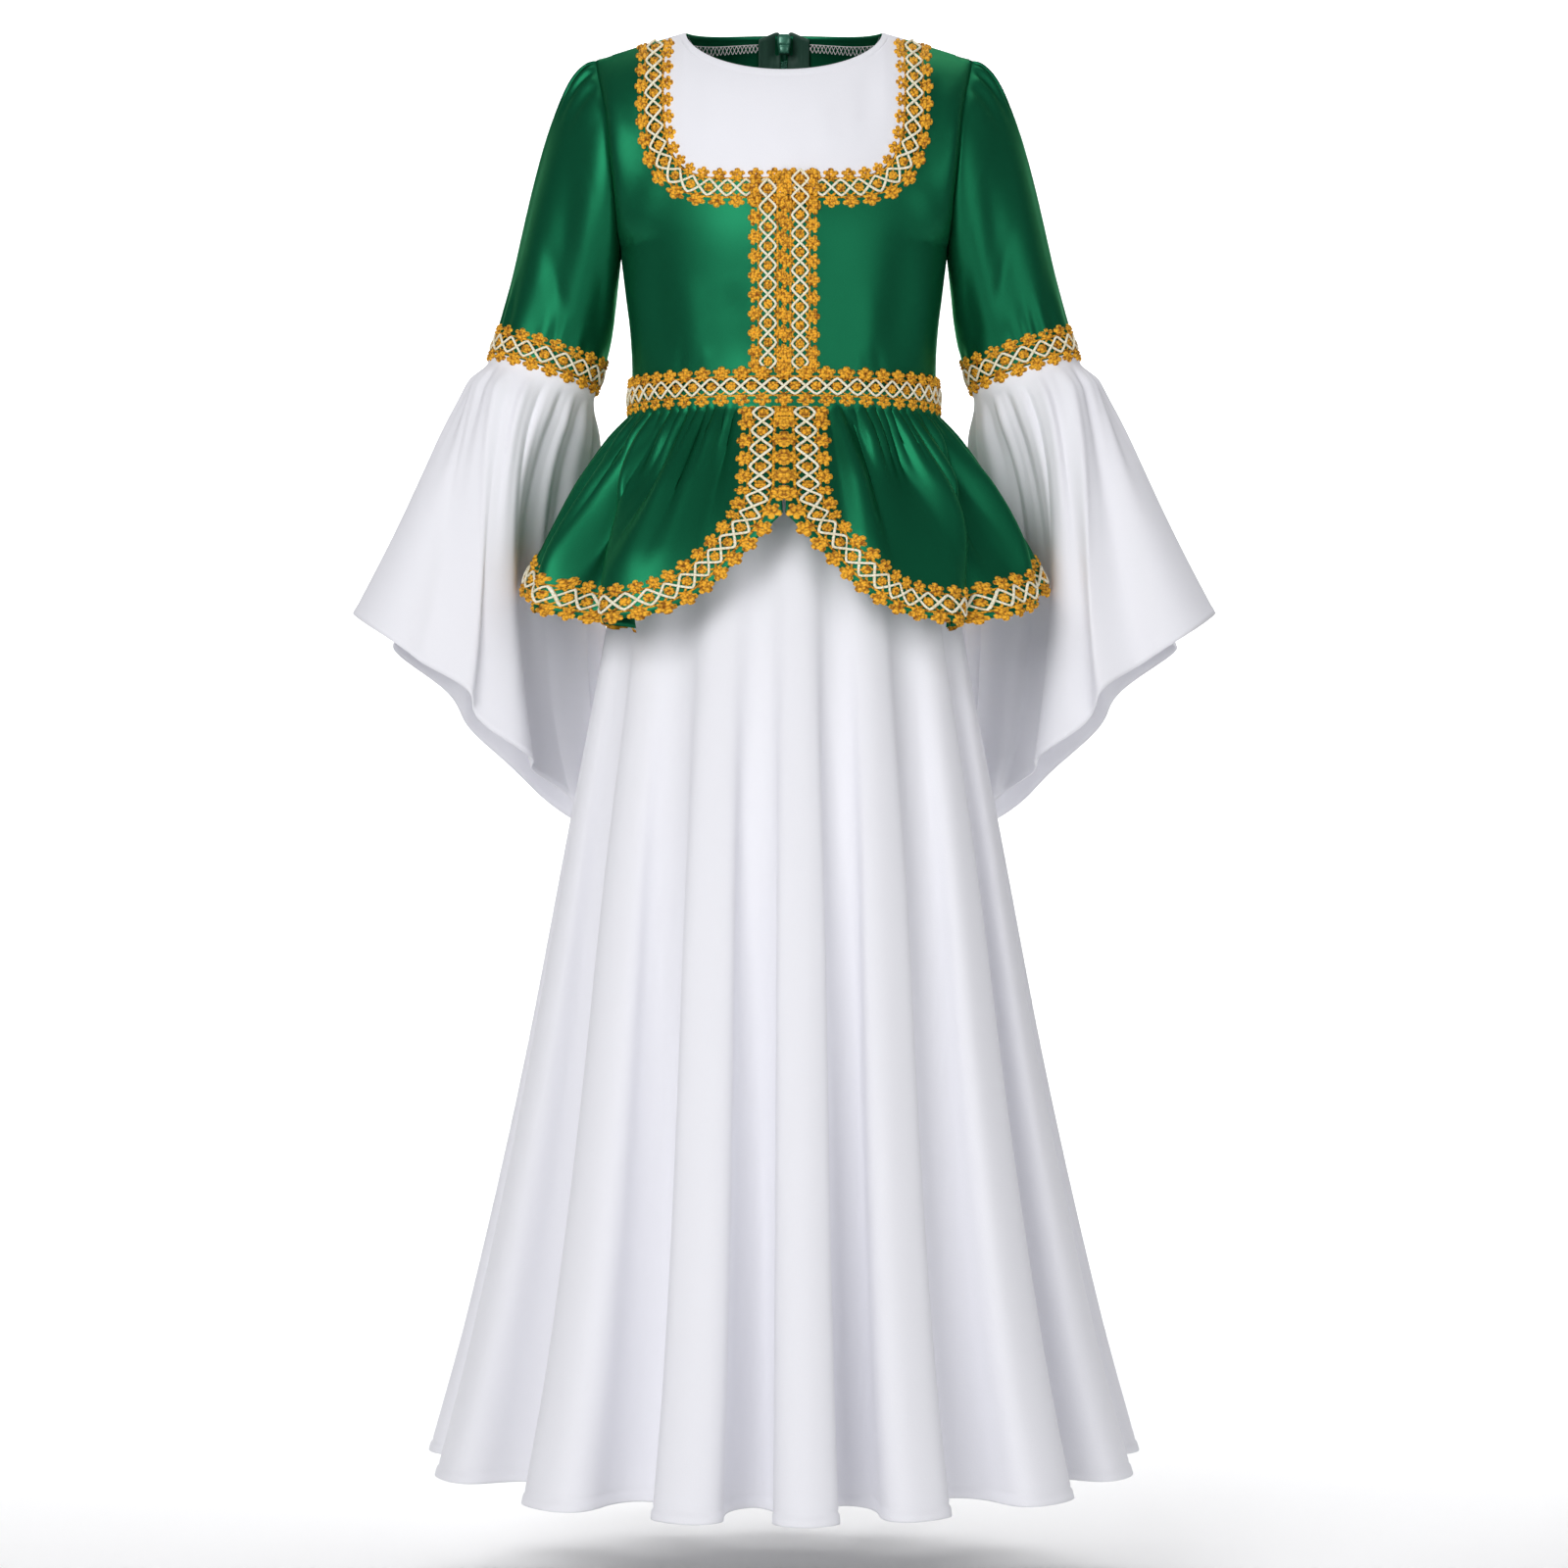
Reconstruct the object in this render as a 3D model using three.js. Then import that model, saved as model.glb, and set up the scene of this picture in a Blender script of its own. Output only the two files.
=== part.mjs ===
// Child's renaissance costume, filled out as if worn: a green satin bodice with a white yoke, set-in
// sleeves that end in white bell flounces, a split green peplum over a long white flared skirt, and
// gold lace on every edge. Units are millimetres, +Z is up, the front faces -Y, and the wearer's left
// is +X. The origin is the middle of the line between the two neck ends of the shoulder seams.
import * as THREE from "three";

// Cloth and seams.
const CLOTH = 1.2;
const SEAM_GAP = 0.4;
const SHOULDER_SEAM = 0.35;

// Lace: a flat braid with a row of flowers along each edge, so its outline is scalloped.
const LACE_WIDTH = 28;
const LACE_WALL = 1;
const LACE_REPEAT = 13.5;
const LACE_SCALLOP = 4;
const LACE_CLEAR = 0.35;
const LACE_ON_FOLDS = 0.6;

// Bodice levels, measured down from the neck end of the shoulder seam.
const WAIST_Z = -272;
const UNDERARM_Z = -160;
const SHOULDER_TIP_Z = -20;
const SHOULDER_TIP_X = 139;
const NECK_HALF = 73;
const FRONT_NECK_DROP = 40;
const BACK_NECK_RISE = 12;
const NAPE_RISE = 60;
const SHOULDER_ROUNDING = 30;
const ARMHOLE_HALF_DEPTH = 38;

// The deep neckline is a squared U. The lace's middle follows one, and covers the yoke's seam, which
// follows a slightly smaller one.
const LACE_U = { half: 95, depth: 130 };
const SEAM_U = { half: 88.5, depth: 123.5 };
const U_SQUARENESS = 5;

// Body levels: half width at the side seam, and how far the front and the back stand from it.
const TORSO = [
  { z: -272, half: 113, front: 82, back: 78 },
  { z: -251, half: 112, front: 83, back: 77 },
  { z: -223, half: 113.5, front: 86, back: 78 },
  { z: -194, half: 117, front: 89, back: 80 },
  { z: -160, half: 121, front: 92, back: 83 },
  { z: -130, half: 123.5, front: 91, back: 85 },
  { z: -100, half: 126.5, front: 89, back: 86 },
  { z: -60, half: 131, front: 85, back: 85 },
  { z: -20, half: 139, front: 80, back: 82 },
  { z: 12, half: 139, front: 78, back: 80 },
];

// Sleeve: the elbow ring where the flounce is gathered on, and the ring's lean from the level.
const ELBOW = { x: 178, y: 30, z: -240 };
const ELBOW_LEAN = (18 * Math.PI) / 180;
const ELBOW_HALF_WIDTH = 41;
const ELBOW_HALF_DEPTH = 36;

// Flounce hem, a row for each direction round the arm: 0 points away from the body and 90 to the
// front. out, back and z place the hem; pushOut and pushBack lead the cloth round the peplum.
const FLOUNCE_HEM = [
  { around: 0, out: 317, back: 12, z: -433, pushOut: 0, pushBack: 0 },
  { around: 30, out: 272, back: -20, z: -466, pushOut: 0, pushBack: 0 },
  { around: 55, out: 240, back: -22, z: -489, pushOut: 0, pushBack: 0 },
  { around: 80, out: 214, back: 0, z: -520, pushOut: 5, pushBack: 0 },
  { around: 105, out: 191, back: 24, z: -542, pushOut: 16, pushBack: 6 },
  { around: 130, out: 174, back: 52, z: -560, pushOut: 22, pushBack: 16 },
  { around: 155, out: 157, back: 85, z: -577, pushOut: 20, pushBack: 22 },
  { around: 180, out: 142, back: 118, z: -595, pushOut: 1, pushBack: 29 },
  { around: 205, out: 136, back: 141, z: -604, pushOut: -8, pushBack: 18 },
  { around: 230, out: 168, back: 150, z: -587, pushOut: -4, pushBack: 9 },
  { around: 255, out: 217, back: 134, z: -545, pushOut: 0, pushBack: 0 },
  { around: 290, out: 256, back: 98, z: -495, pushOut: 0, pushBack: 0 },
  { around: 325, out: 296, back: 52, z: -453, pushOut: 0, pushBack: 0 },
];
const FLOUNCE_GATHERS = 13;
const FLOUNCE_GATHER_HEIGHT = 2.6;
const FLOUNCE_FOLDS = 5;
const FLOUNCE_FOLD_HEIGHT = 9;
const FLOUNCE_FOLD_SHIFT = 6;
const FLOUNCE_POP = 7;
const FLOUNCE_CUFF = 15;
const FLOUNCE_CUFF_SHARE = 0.07;

// Peplum: how far its hem hangs below the waist seam, by direction from the front middle.
const PEPLUM_DROP = [
  { angle: 0, drop: 94 },
  { angle: 8, drop: 121 },
  { angle: 16, drop: 147 },
  { angle: 23, drop: 163 },
  { angle: 32, drop: 170 },
  { angle: 48, drop: 170 },
  { angle: 68, drop: 158 },
  { angle: 90, drop: 143 },
  { angle: 120, drop: 147 },
  { angle: 150, drop: 154 },
  { angle: 180, drop: 156 },
];
const PEPLUM_HALF_WIDTH = 189;
const PEPLUM_FRONT_DEPTH = 128;
const PEPLUM_BACK_DEPTH = 116;
const PEPLUM_FLARE = 1.3;
const PEPLUM_BAND = 16;
const PEPLUM_GATHERS = 34;
const PEPLUM_GATHER_HEIGHT = 2.4;
const PEPLUM_FOLDS = [
  { angle: 14, height: 0 },
  { angle: 38, height: 7 },
  { angle: 55, height: -9 },
  { angle: 76, height: 5 },
  { angle: 96, height: -3 },
  { angle: 118, height: 4 },
  { angle: 136, height: -5 },
  { angle: 156, height: 6 },
  { angle: 170, height: -3 },
];

// Skirt: outline at the crests of its folds, and the depth of the valleys between them.
const SKIRT = [
  { z: -272, half: 113, front: 82, back: 78, valley: 0 },
  { z: -292, half: 112.2, front: 81, back: 77, valley: 0 },
  { z: -350, half: 120, front: 91, back: 89, valley: 4 },
  { z: -442, half: 132, front: 106, back: 106, valley: 10 },
  { z: -602, half: 163, front: 142, back: 140, valley: 22 },
  { z: -778, half: 198, front: 186, back: 180, valley: 38 },
  { z: -953, half: 239, front: 234, back: 222, valley: 56 },
  { z: -1058, half: 268, front: 263, back: 248, valley: 70 },
];
const HEM_Z = -1058;
const SKIRT_TWIST = 0.42;

// Crests of the skirt's folds at the hem, in degrees from the front middle to the wearer's left.
const SKIRT_CRESTS = [
  -180, -159, -139, -118, -96, -70, -39, -15, 3.5, 21, 46, 71, 96, 118, 140, 160, 180,
];
const SKIRT_COLUMNS_PER_FOLD = 6;

// Zip at the middle of the back.
const ZIP_END_Z = -352;
const ZIP_TOP_Z = 13;
const ZIP_TAPE_WIDTH = 17;
const ZIP_TAPE = 0.8;
const ZIP_COIL_HALF = 2.4;
const ZIP_SLIT = 1.7;
const ZIP_TAPE_SETTLES = 0.6;
const COIL_THICK = 1.4;
const COIL_CROWN = 0.6;
const ZIP_CLEAR = 1.2;
const ZIP_SKIRT_BEND = 0.2;
const ZIP_HEAD_Z = 6.5;
const COIL_TOP_Z = -5;
const SLIDER_WALL = 2.4;
const SLIDER_CLEAR = 2;
const BRIDGE_WALL = 1.6;
const PULL_LENGTH = 26;
const PULL_BAR = 1.2;
const PULL_AXIS_OUT = 2.3;
const PULL_PLAY = 0.7;
const BRIDGE_RIM = 0.8;

const GREEN = new THREE.MeshStandardMaterial({ color: 0x1a6946, roughness: 0.35, metalness: 0 });
const WHITE = new THREE.MeshStandardMaterial({ color: 0xf1f0f7, roughness: 0.75, metalness: 0 });
const GOLD = new THREE.MeshStandardMaterial({ color: 0xd9982a, roughness: 0.6, metalness: 0 });
const METAL = new THREE.MeshStandardMaterial({ color: 0x1d4a3a, roughness: 0.35, metalness: 0.6 });
const ZIP_GREEN = new THREE.MeshStandardMaterial({ color: 0x123a2c, roughness: 0.5, metalness: 0 });

const costume = new THREE.Group();

// Numbers and tables.

const { lerp, smoothstep, clamp, degToRad, radToDeg } = THREE.MathUtils;

// Smooth value of one column of a table between its rows. A table that goes round repeats after span.
function read(rows, key, column, at, span = 0) {
  const count = rows.length;
  const row = (i) => {
    if (!span) return rows[clamp(i, 0, count - 1)];
    const turns = Math.floor(i / count);
    const home = rows[i - turns * count];
    return { ...home, [key]: home[key] + turns * span };
  };
  const rising = rows[1][key] > rows[0][key] ? 1 : -1;
  let i = 0;
  while (i < count - (span ? 1 : 2) && (at - rows[i + 1]?.[key]) * rising > 0) i += 1;
  const [a, b, c, d] = [row(i - 1), row(i), row(i + 1), row(i + 2)];
  const t = clamp((at - b[key]) / (c[key] - b[key]), 0, 1);
  const slope = (p, q) => {
    const run = q[key] - p[key];
    return run === 0 ? 0 : ((q[column] - p[column]) / run) * (c[key] - b[key]);
  };
  const cube = t * t * t;
  const square = t * t;
  return (
    (2 * cube - 3 * square + 1) * b[column] +
    (cube - 2 * square + t) * slope(a, c) +
    (3 * square - 2 * cube) * c[column] +
    (cube - square) * slope(b, d)
  );
}

// A point moved along the outward normal of a surface of two parameters.
function moveOut(surface, a, b, distance) {
  const step = 1e-3;
  const point = surface(a, b);
  const alongA = surface(a + step, b).sub(surface(a - step, b));
  const alongB = surface(a, b + step * 10).sub(surface(a, b - step * 10));
  return point.addScaledVector(alongA.cross(alongB).normalize(), distance);
}

// A closed wall: skin(row, column, face) gives the point of its inner face 0 or its outer face 1.
function wall(rows, columns, isRing, skin) {
  const width = isRing ? columns : columns + 1;
  const points = [];
  for (const face of [0, 1]) {
    for (let r = 0; r <= rows; r += 1) {
      for (let c = 0; c < width; c += 1) points.push(...skin(r, c, face).toArray());
    }
  }
  const at = (face, r, c) => (face * (rows + 1) + r) * width + (c % width);
  const index = [];
  const quad = (a, b, c, d) => index.push(a, b, c, a, c, d);
  for (let r = 0; r < rows; r += 1) {
    for (let c = 0; c < columns; c += 1) {
      quad(at(1, r, c), at(1, r, c + 1), at(1, r + 1, c + 1), at(1, r + 1, c));
      quad(at(0, r, c), at(0, r + 1, c), at(0, r + 1, c + 1), at(0, r, c + 1));
    }
  }
  for (let c = 0; c < columns; c += 1) {
    quad(at(0, 0, c), at(0, 0, c + 1), at(1, 0, c + 1), at(1, 0, c));
    quad(at(1, rows, c), at(1, rows, c + 1), at(0, rows, c + 1), at(0, rows, c));
  }
  if (!isRing) {
    for (let r = 0; r < rows; r += 1) {
      quad(at(1, r, 0), at(1, r + 1, 0), at(0, r + 1, 0), at(0, r, 0));
      quad(at(0, r, columns), at(0, r + 1, columns), at(1, r + 1, columns), at(1, r, columns));
    }
  }
  const geometry = new THREE.BufferGeometry();
  geometry.setAttribute("position", new THREE.Float32BufferAttribute(points, 3));
  geometry.setIndex(index);
  return facingOut(geometry);
}

// The same geometry with its faces turned to point outwards.
function facingOut(geometry) {
  const position = geometry.getAttribute("position");
  const index = geometry.index.array;
  const [a, b, c] = [new THREE.Vector3(), new THREE.Vector3(), new THREE.Vector3()];
  let volume = 0;
  for (let i = 0; i < index.length; i += 3) {
    a.fromBufferAttribute(position, index[i]);
    b.fromBufferAttribute(position, index[i + 1]);
    c.fromBufferAttribute(position, index[i + 2]);
    volume += a.dot(b.cross(c));
  }
  if (volume < 0) {
    for (let i = 0; i < index.length; i += 3) [index[i + 1], index[i + 2]] = [index[i + 2], index[i + 1]];
  }
  geometry.computeVertexNormals();
  return geometry;
}

function add(name, geometry, material) {
  const mesh = new THREE.Mesh(geometry, material);
  mesh.name = name;
  costume.add(mesh);
  return mesh;
}

// A point of the wearer's left side, or its mirror image on the right.
const onSide = (side, point) => point.setX(point.x * side);

// A panel of the front or the back, trimmed so that it ends at the shoulder and side seams.
const trimmed = (isFront, point) =>
  point.setY(isFront ? Math.min(point.y, -SEAM_GAP / 2) : Math.max(point.y, SEAM_GAP / 2));

// Bodice and yoke.

// Height of the shoulder seam, and inside the neck the height that the cloth rounds over to.
function shoulderTop(isFront, x) {
  const across = Math.abs(x);
  if (across > NECK_HALF) {
    return (SHOULDER_TIP_Z * (across - NECK_HALF)) / (SHOULDER_TIP_X - NECK_HALF);
  }
  return isFront ? 0 : NAPE_RISE * (1 - (across / NECK_HALF) ** 2);
}

function armholeDepth(z) {
  const middle = (UNDERARM_Z + SHOULDER_TIP_Z) / 2;
  const half = (SHOULDER_TIP_Z - UNDERARM_Z) / 2;
  return ARMHOLE_HALF_DEPTH * Math.sqrt(Math.max(0, 1 - ((z - middle) / half) ** 2));
}

// The body's surface: angle runs from the front middle round the wearer's left to the back.
function torso(isFront, angle, z) {
  const half = read(TORSO, "z", "half", z);
  const depth = read(TORSO, "z", isFront ? "front" : "back", z);
  const x = half * Math.sin(angle);
  const rounding = 1 - Math.exp(-Math.max(0, shoulderTop(isFront, x) - z) / SHOULDER_ROUNDING);
  const stands = depth * Math.cos(angle) * (isFront ? 1 : -1) + armholeDepth(z) * Math.sin(angle) ** 8;
  return new THREE.Vector3(x, (isFront ? -1 : 1) * stands * rounding, z);
}
const front = (angle, z) => torso(true, angle, z);
const back = (angle, z) => torso(false, angle, z);
const frontAngle = (x, z) => Math.asin(clamp(x / read(TORSO, "z", "half", z), -1, 1));
const sideSeamAngle = (z) => SEAM_GAP / 2 / read(TORSO, "z", "front", z);

// Half of a deep U: a superellipse from the front middle to the shoulder seam, evenly spaced.
function deepNeck(line) {
  const steps = 90;
  const points = [];
  for (let i = 0; i <= steps; i += 1) {
    const turn = (i / steps) * Math.PI * 0.5;
    const power = 2 / U_SQUARENESS;
    const x = line.half * Math.sin(turn) ** power;
    const z = -line.depth * Math.cos(turn) ** power;
    points.push(new THREE.Vector2(x, Math.min(z, shoulderTop(true, x) - SHOULDER_SEAM)));
  }
  const curve = new THREE.SplineCurve(points.filter((p, i) => i === 0 || p.distanceTo(points[i - 1]) > 0.05));
  curve.arcLengthDivisions = 400;
  return curve;
}
const YOKE_SEAM = deepNeck(SEAM_U);
const LACE_LINE = deepNeck(LACE_U);

function neckEdge(t) {
  const turn = lerp(-Math.PI / 2, Math.PI / 2, t);
  const x = NECK_HALF * Math.sin(turn);
  return new THREE.Vector2(x, -FRONT_NECK_DROP * Math.cos(turn));
}

function makeYoke() {
  const rows = 5;
  const columns = 18;
  const sideGap = SEAM_GAP / 2;
  const geometry = wall(rows, columns, false, (r, c, face) => {
    const t = c / columns;
    const half = YOKE_SEAM.getPointAt(Math.abs(2 * t - 1));
    const low = new THREE.Vector2((half.x - sideGap) * Math.sign(2 * t - 1), half.y + sideGap);
    const spot = neckEdge(t).lerp(low, r / rows);
    const z = Math.min(spot.y, shoulderTop(true, spot.x) - SHOULDER_SEAM);
    return trimmed(true, moveOut(front, frontAngle(spot.x, z), z, face ? 0 : -CLOTH));
  });
  add("yoke_front", geometry, WHITE);
}

function makeBodiceFront(side, name) {
  const lowRows = 4;
  const highRows = 9;
  const columns = 7;
  const middle = SEAM_GAP / 2;
  const geometry = wall(lowRows + highRows, columns, false, (r, c, face) => {
    const low = Math.min(1, r / lowRows);
    const high = Math.max(0, (r - lowRows) / highRows);
    const neck = YOKE_SEAM.getPointAt(high);
    const innerZ = high > 0 ? neck.y - middle : lerp(WAIST_Z + middle, -SEAM_U.depth - middle, low);
    const innerX = high > 0 ? neck.x + middle : middle;
    const outerLow = lerp(WAIST_Z + middle, UNDERARM_Z, low);
    const outerZ = high > 0 ? lerp(UNDERARM_Z, SHOULDER_TIP_Z, high) : outerLow;
    const t = c / columns;
    const seam = Math.PI / 2 - sideSeamAngle(outerZ);
    const angle = lerp(frontAngle(innerX, innerZ), seam, t);
    const plainZ = lerp(innerZ, outerZ, t);
    const x = read(TORSO, "z", "half", plainZ) * Math.sin(angle);
    const top = shoulderTop(true, x) - SHOULDER_SEAM;
    const z = high === 1 ? top : Math.min(plainZ, top - (1 - high) * 2);
    return onSide(side, trimmed(true, moveOut(front, angle, z, face ? 0 : -CLOTH)));
  });
  add(name, geometry, GREEN);
}

// Half of the slit at the middle of the back, which opens a little round the zip's slider.
const slitHalf = (z) => SEAM_GAP + (ZIP_SLIT - SEAM_GAP) * smoothstep(z, ZIP_TOP_Z - 24, ZIP_TOP_Z - 12);

function makeBodiceBack(side, name) {
  const lowRows = 4;
  const highRows = 8;
  const columns = 8;
  const underarm = (UNDERARM_Z - WAIST_Z) / (SHOULDER_TIP_Z - WAIST_Z);
  const geometry = wall(lowRows + highRows, columns, false, (r, c, face) => {
    const rise = r <= lowRows ? underarm * (r / lowRows) : lerp(underarm, 1, (r - lowRows) / highRows);
    const across = c / columns;
    const x = SHOULDER_TIP_X * Math.sin(across * (Math.PI / 2));
    const edge = x < NECK_HALF ? BACK_NECK_RISE * (1 - (x / NECK_HALF) ** 2) : shoulderTop(false, x);
    const bottom = WAIST_Z + SEAM_GAP / 2;
    const z = lerp(bottom, edge - SHOULDER_SEAM, rise);
    const slit = slitHalf(z) / read(TORSO, "z", "half", z);
    const turn = lerp(slit, Math.PI / 2 - sideSeamAngle(z), across);
    return onSide(side, trimmed(false, moveOut(back, Math.PI - turn, z, face ? 0 : -CLOTH)));
  });
  add(name, geometry, GREEN);
}

// Sleeves.

const ELBOW_CENTRE = new THREE.Vector3(ELBOW.x, ELBOW.y, ELBOW.z);
const ARM_OUT = new THREE.Vector3(Math.cos(ELBOW_LEAN), 0, Math.sin(ELBOW_LEAN));
const ARM_DOWN = new THREE.Vector3(Math.sin(ELBOW_LEAN), 0, -Math.cos(ELBOW_LEAN));
const ARM_FRONT = new THREE.Vector3(0, -1, 0);

function elbowRing(around, grow = 0) {
  return ELBOW_CENTRE.clone()
    .addScaledVector(ARM_OUT, (ELBOW_HALF_WIDTH + grow) * Math.cos(around))
    .addScaledVector(ARM_FRONT, (ELBOW_HALF_DEPTH + grow) * Math.sin(around));
}

// A cubic between two points with given directions at its ends.
function hermite(start, startWay, end, endWay, t) {
  const cube = t * t * t;
  const square = t * t;
  return new THREE.Vector3()
    .addScaledVector(start, 2 * cube - 3 * square + 1)
    .addScaledVector(startWay, cube - 2 * square + t)
    .addScaledVector(end, 3 * square - 2 * cube)
    .addScaledVector(endWay, cube - square);
}

function armholePoint(around) {
  const z = lerp(UNDERARM_Z, SHOULDER_TIP_Z, (1 + Math.cos(around)) / 2);
  const edge = front(Math.PI / 2, z);
  const y = Math.sin(around) >= 0 ? edge.y : -edge.y;
  return new THREE.Vector3(edge.x + SEAM_GAP + 0.2, y, z);
}

// The sleeve's surface: round the arm, and from the armhole at 0 to the elbow at 1.
function sleeve(around, down) {
  const top = (1 + Math.cos(around)) / 2;
  const startWay = new THREE.Vector3(lerp(8, 115, top), -12 * Math.sin(around), lerp(-78, -25, top));
  const endWay = ARM_DOWN.clone().multiplyScalar(lerp(90, 195, top));
  return hermite(armholePoint(around), startWay, elbowRing(around), endWay, down);
}

// Shares of the sleeve's length left free beside the elbow and armhole seams, and how much closer
// together its rows stand near the armhole.
const ELBOW_EDGE = 0.001;
const ARMHOLE_EDGE = 0.012;
const SLEEVE_ROW_POWER = 1.15;

function makeSleeve(side, name) {
  const rows = 7;
  const columns = 22;
  const geometry = wall(rows, columns, true, (r, c, face) => {
    const around = (c / columns) * Math.PI * 2;
    const down = Math.max((r / rows) ** SLEEVE_ROW_POWER * (1 - ELBOW_EDGE), ARMHOLE_EDGE);
    return onSide(side, moveOut(sleeve, around, down, face ? 0 : -CLOTH));
  });
  add(name, geometry, GREEN);
}

// The flounce's surface: round the arm, and from the elbow at 0 to its slanted hem at 1.
function flounce(around, down) {
  const turn = ((radToDeg(around) % 360) + 360) % 360;
  const hemValue = (column) => read(FLOUNCE_HEM, "around", column, turn, 360);
  const gatheredOn = FLOUNCE_CUFF * Math.min(1, down / FLOUNCE_CUFF_SHARE);
  const start = elbowRing(around).addScaledVector(ARM_DOWN, SEAM_GAP / 2 + gatheredOn);
  const end = new THREE.Vector3(hemValue("out"), hemValue("back"), hemValue("z"));
  const reach = start.distanceTo(end);
  const startWay = ARM_DOWN.clone().multiplyScalar(reach * 0.62);
  const endWay = end.clone().sub(start);
  const free = Math.max(0, (down - FLOUNCE_CUFF_SHARE) / (1 - FLOUNCE_CUFF_SHARE));
  const point = hermite(start, startWay, end, endWay, free);
  const pushed = 4 * free * (1 - free);
  point.x += hemValue("pushOut") * pushed;
  point.y += hemValue("pushBack") * pushed;
  const gathered = smoothstep(down, 0.07, 0.17) * (1 - smoothstep(down, 0.2, 0.75));
  const folded = smoothstep(down, 0.15, 1);
  const fold = FLOUNCE_FOLDS * around - 1.2 + 0.5 * Math.sin(2 * around);
  const swell =
    FLOUNCE_POP * smoothstep(down, 0.07, 0.2) * (1 - smoothstep(down, 0.3, 0.9)) +
    FLOUNCE_GATHER_HEIGHT * gathered * Math.cos(FLOUNCE_GATHERS * around) +
    FLOUNCE_FOLD_HEIGHT * folded * Math.cos(fold);
  const outward = elbowRing(around, 1).sub(elbowRing(around)).normalize();
  const sideways = elbowRing(around + 0.01).sub(elbowRing(around)).normalize();
  point.addScaledVector(sideways, FLOUNCE_FOLD_SHIFT * folded * Math.sin(2 * fold));
  return point.addScaledVector(outward, swell);
}

function makeFlounce(side, name) {
  const downs = [0, 0.07, 0.17, 0.34, 0.55, 0.78, 1];
  const columns = FLOUNCE_GATHERS * 4;
  const geometry = wall(downs.length - 1, columns, true, (r, c, face) => {
    const around = (c / columns) * Math.PI * 2;
    return onSide(side, moveOut(flounce, around, downs[r], face ? 0 : -CLOTH));
  });
  add(name, geometry, WHITE);
}

// Peplum.

const hemDrop = (angle) => read(PEPLUM_DROP, "angle", "drop", radToDeg(angle));

// Share of the peplum's length that the waist lace presses flat.
const bandShare = (angle) => PEPLUM_BAND / hemDrop(angle);

// The peplum's surface on the wearer's left: round the waist, and from its seam at 0 to its hem at 1.
function peplum(angle, down) {
  const drop = hemDrop(clamp(angle, 0, Math.PI)) * down;
  const band = bandShare(clamp(angle, 0, Math.PI));
  const free = clamp((down - band) / (1 - band), 0, 1);
  const flare = 1 - (1 - free) ** PEPLUM_FLARE;
  const isFront = Math.cos(angle) >= 0;
  const waistDepth = TORSO[0][isFront ? "front" : "back"];
  const hemDepth = isFront ? PEPLUM_FRONT_DEPTH : PEPLUM_BACK_DEPTH;
  const half = lerp(TORSO[0].half, PEPLUM_HALF_WIDTH, flare);
  const depth = lerp(waistDepth, hemDepth, flare);
  const z = WAIST_Z - SEAM_GAP / 2 - drop;
  const point = new THREE.Vector3(half * Math.sin(angle), -depth * Math.cos(angle), z);
  const turn = radToDeg(clamp(angle, 0, Math.PI));
  const flatUnderLace = smoothstep(turn, 12, 22) * smoothstep(180 - turn, 3, 9);
  const gathered = flatUnderLace * smoothstep(down, band, 0.24) * (1 - smoothstep(down, 0.27, 0.83));
  const swell =
    PEPLUM_GATHER_HEIGHT * gathered * (Math.cos(PEPLUM_GATHERS * angle) + 1) +
    read(PEPLUM_FOLDS, "angle", "height", turn) * smoothstep(down, 0.15, 1);
  const outward = new THREE.Vector3(Math.sin(angle), -Math.cos(angle), 0);
  return point.addScaledVector(outward, swell);
}

const PEPLUM_INSIDE = SEAM_GAP;
const PEPLUM_START = SEAM_GAP / TORSO[0].half;

// The peplum's second parameter runs down, so its surface normal points in.
const offPeplum = (angle, down, distance) => moveOut(peplum, angle, down, -distance);

function makePeplum(side, name) {
  const downs = [0, 0, 0.24, 0.44, 0.64, 0.82, 1];
  const columns = PEPLUM_GATHERS * 2;
  const geometry = wall(downs.length - 1, columns, false, (r, c, face) => {
    const angle = lerp(PEPLUM_START, Math.PI - PEPLUM_START, c / columns);
    const distance = PEPLUM_INSIDE + (face ? CLOTH : 0);
    return onSide(side, offPeplum(angle, r === 1 ? bandShare(angle) : downs[r], distance));
  });
  add(name, geometry, GREEN);
}

// Skirt.

// Angle at the hem of a fold counted from the first crest.
function crestAngle(fold) {
  const first = Math.floor(clamp(fold, 0, SKIRT_CRESTS.length - 2));
  return degToRad(lerp(SKIRT_CRESTS[first], SKIRT_CRESTS[first + 1], fold - first));
}

// The skirt's surface: folds counted round from the back middle, and height.
function skirt(fold, z) {
  const level = (column) => read(SKIRT, "z", column, z);
  const hemAngle = crestAngle(fold);
  const twist = SKIRT_TWIST * smoothstep(z, HEM_Z, WAIST_Z) * (1 - 0.55 * smoothstep(z, -442, WAIST_Z));
  const angle = hemAngle + twist * Math.sin(2 * hemAngle) * 0.5;
  const depth = Math.cos(angle) >= 0 ? level("front") : level("back");
  const crest = Math.abs(Math.cos(fold * Math.PI));
  const valley = level("valley") * (1 - Math.sqrt(crest * crest * 0.94 + 0.06));
  const half = level("half") - valley;
  return new THREE.Vector3(half * Math.sin(angle), -(depth - valley) * Math.cos(angle), z);
}

// Fold count where the skirt reaches a given angle at the hem.
function foldAt(angle) {
  const turn = radToDeg(angle);
  let first = 0;
  while (first < SKIRT_CRESTS.length - 2 && turn > SKIRT_CRESTS[first + 1]) first += 1;
  return first + (turn - SKIRT_CRESTS[first]) / (SKIRT_CRESTS[first + 1] - SKIRT_CRESTS[first]);
}

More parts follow.
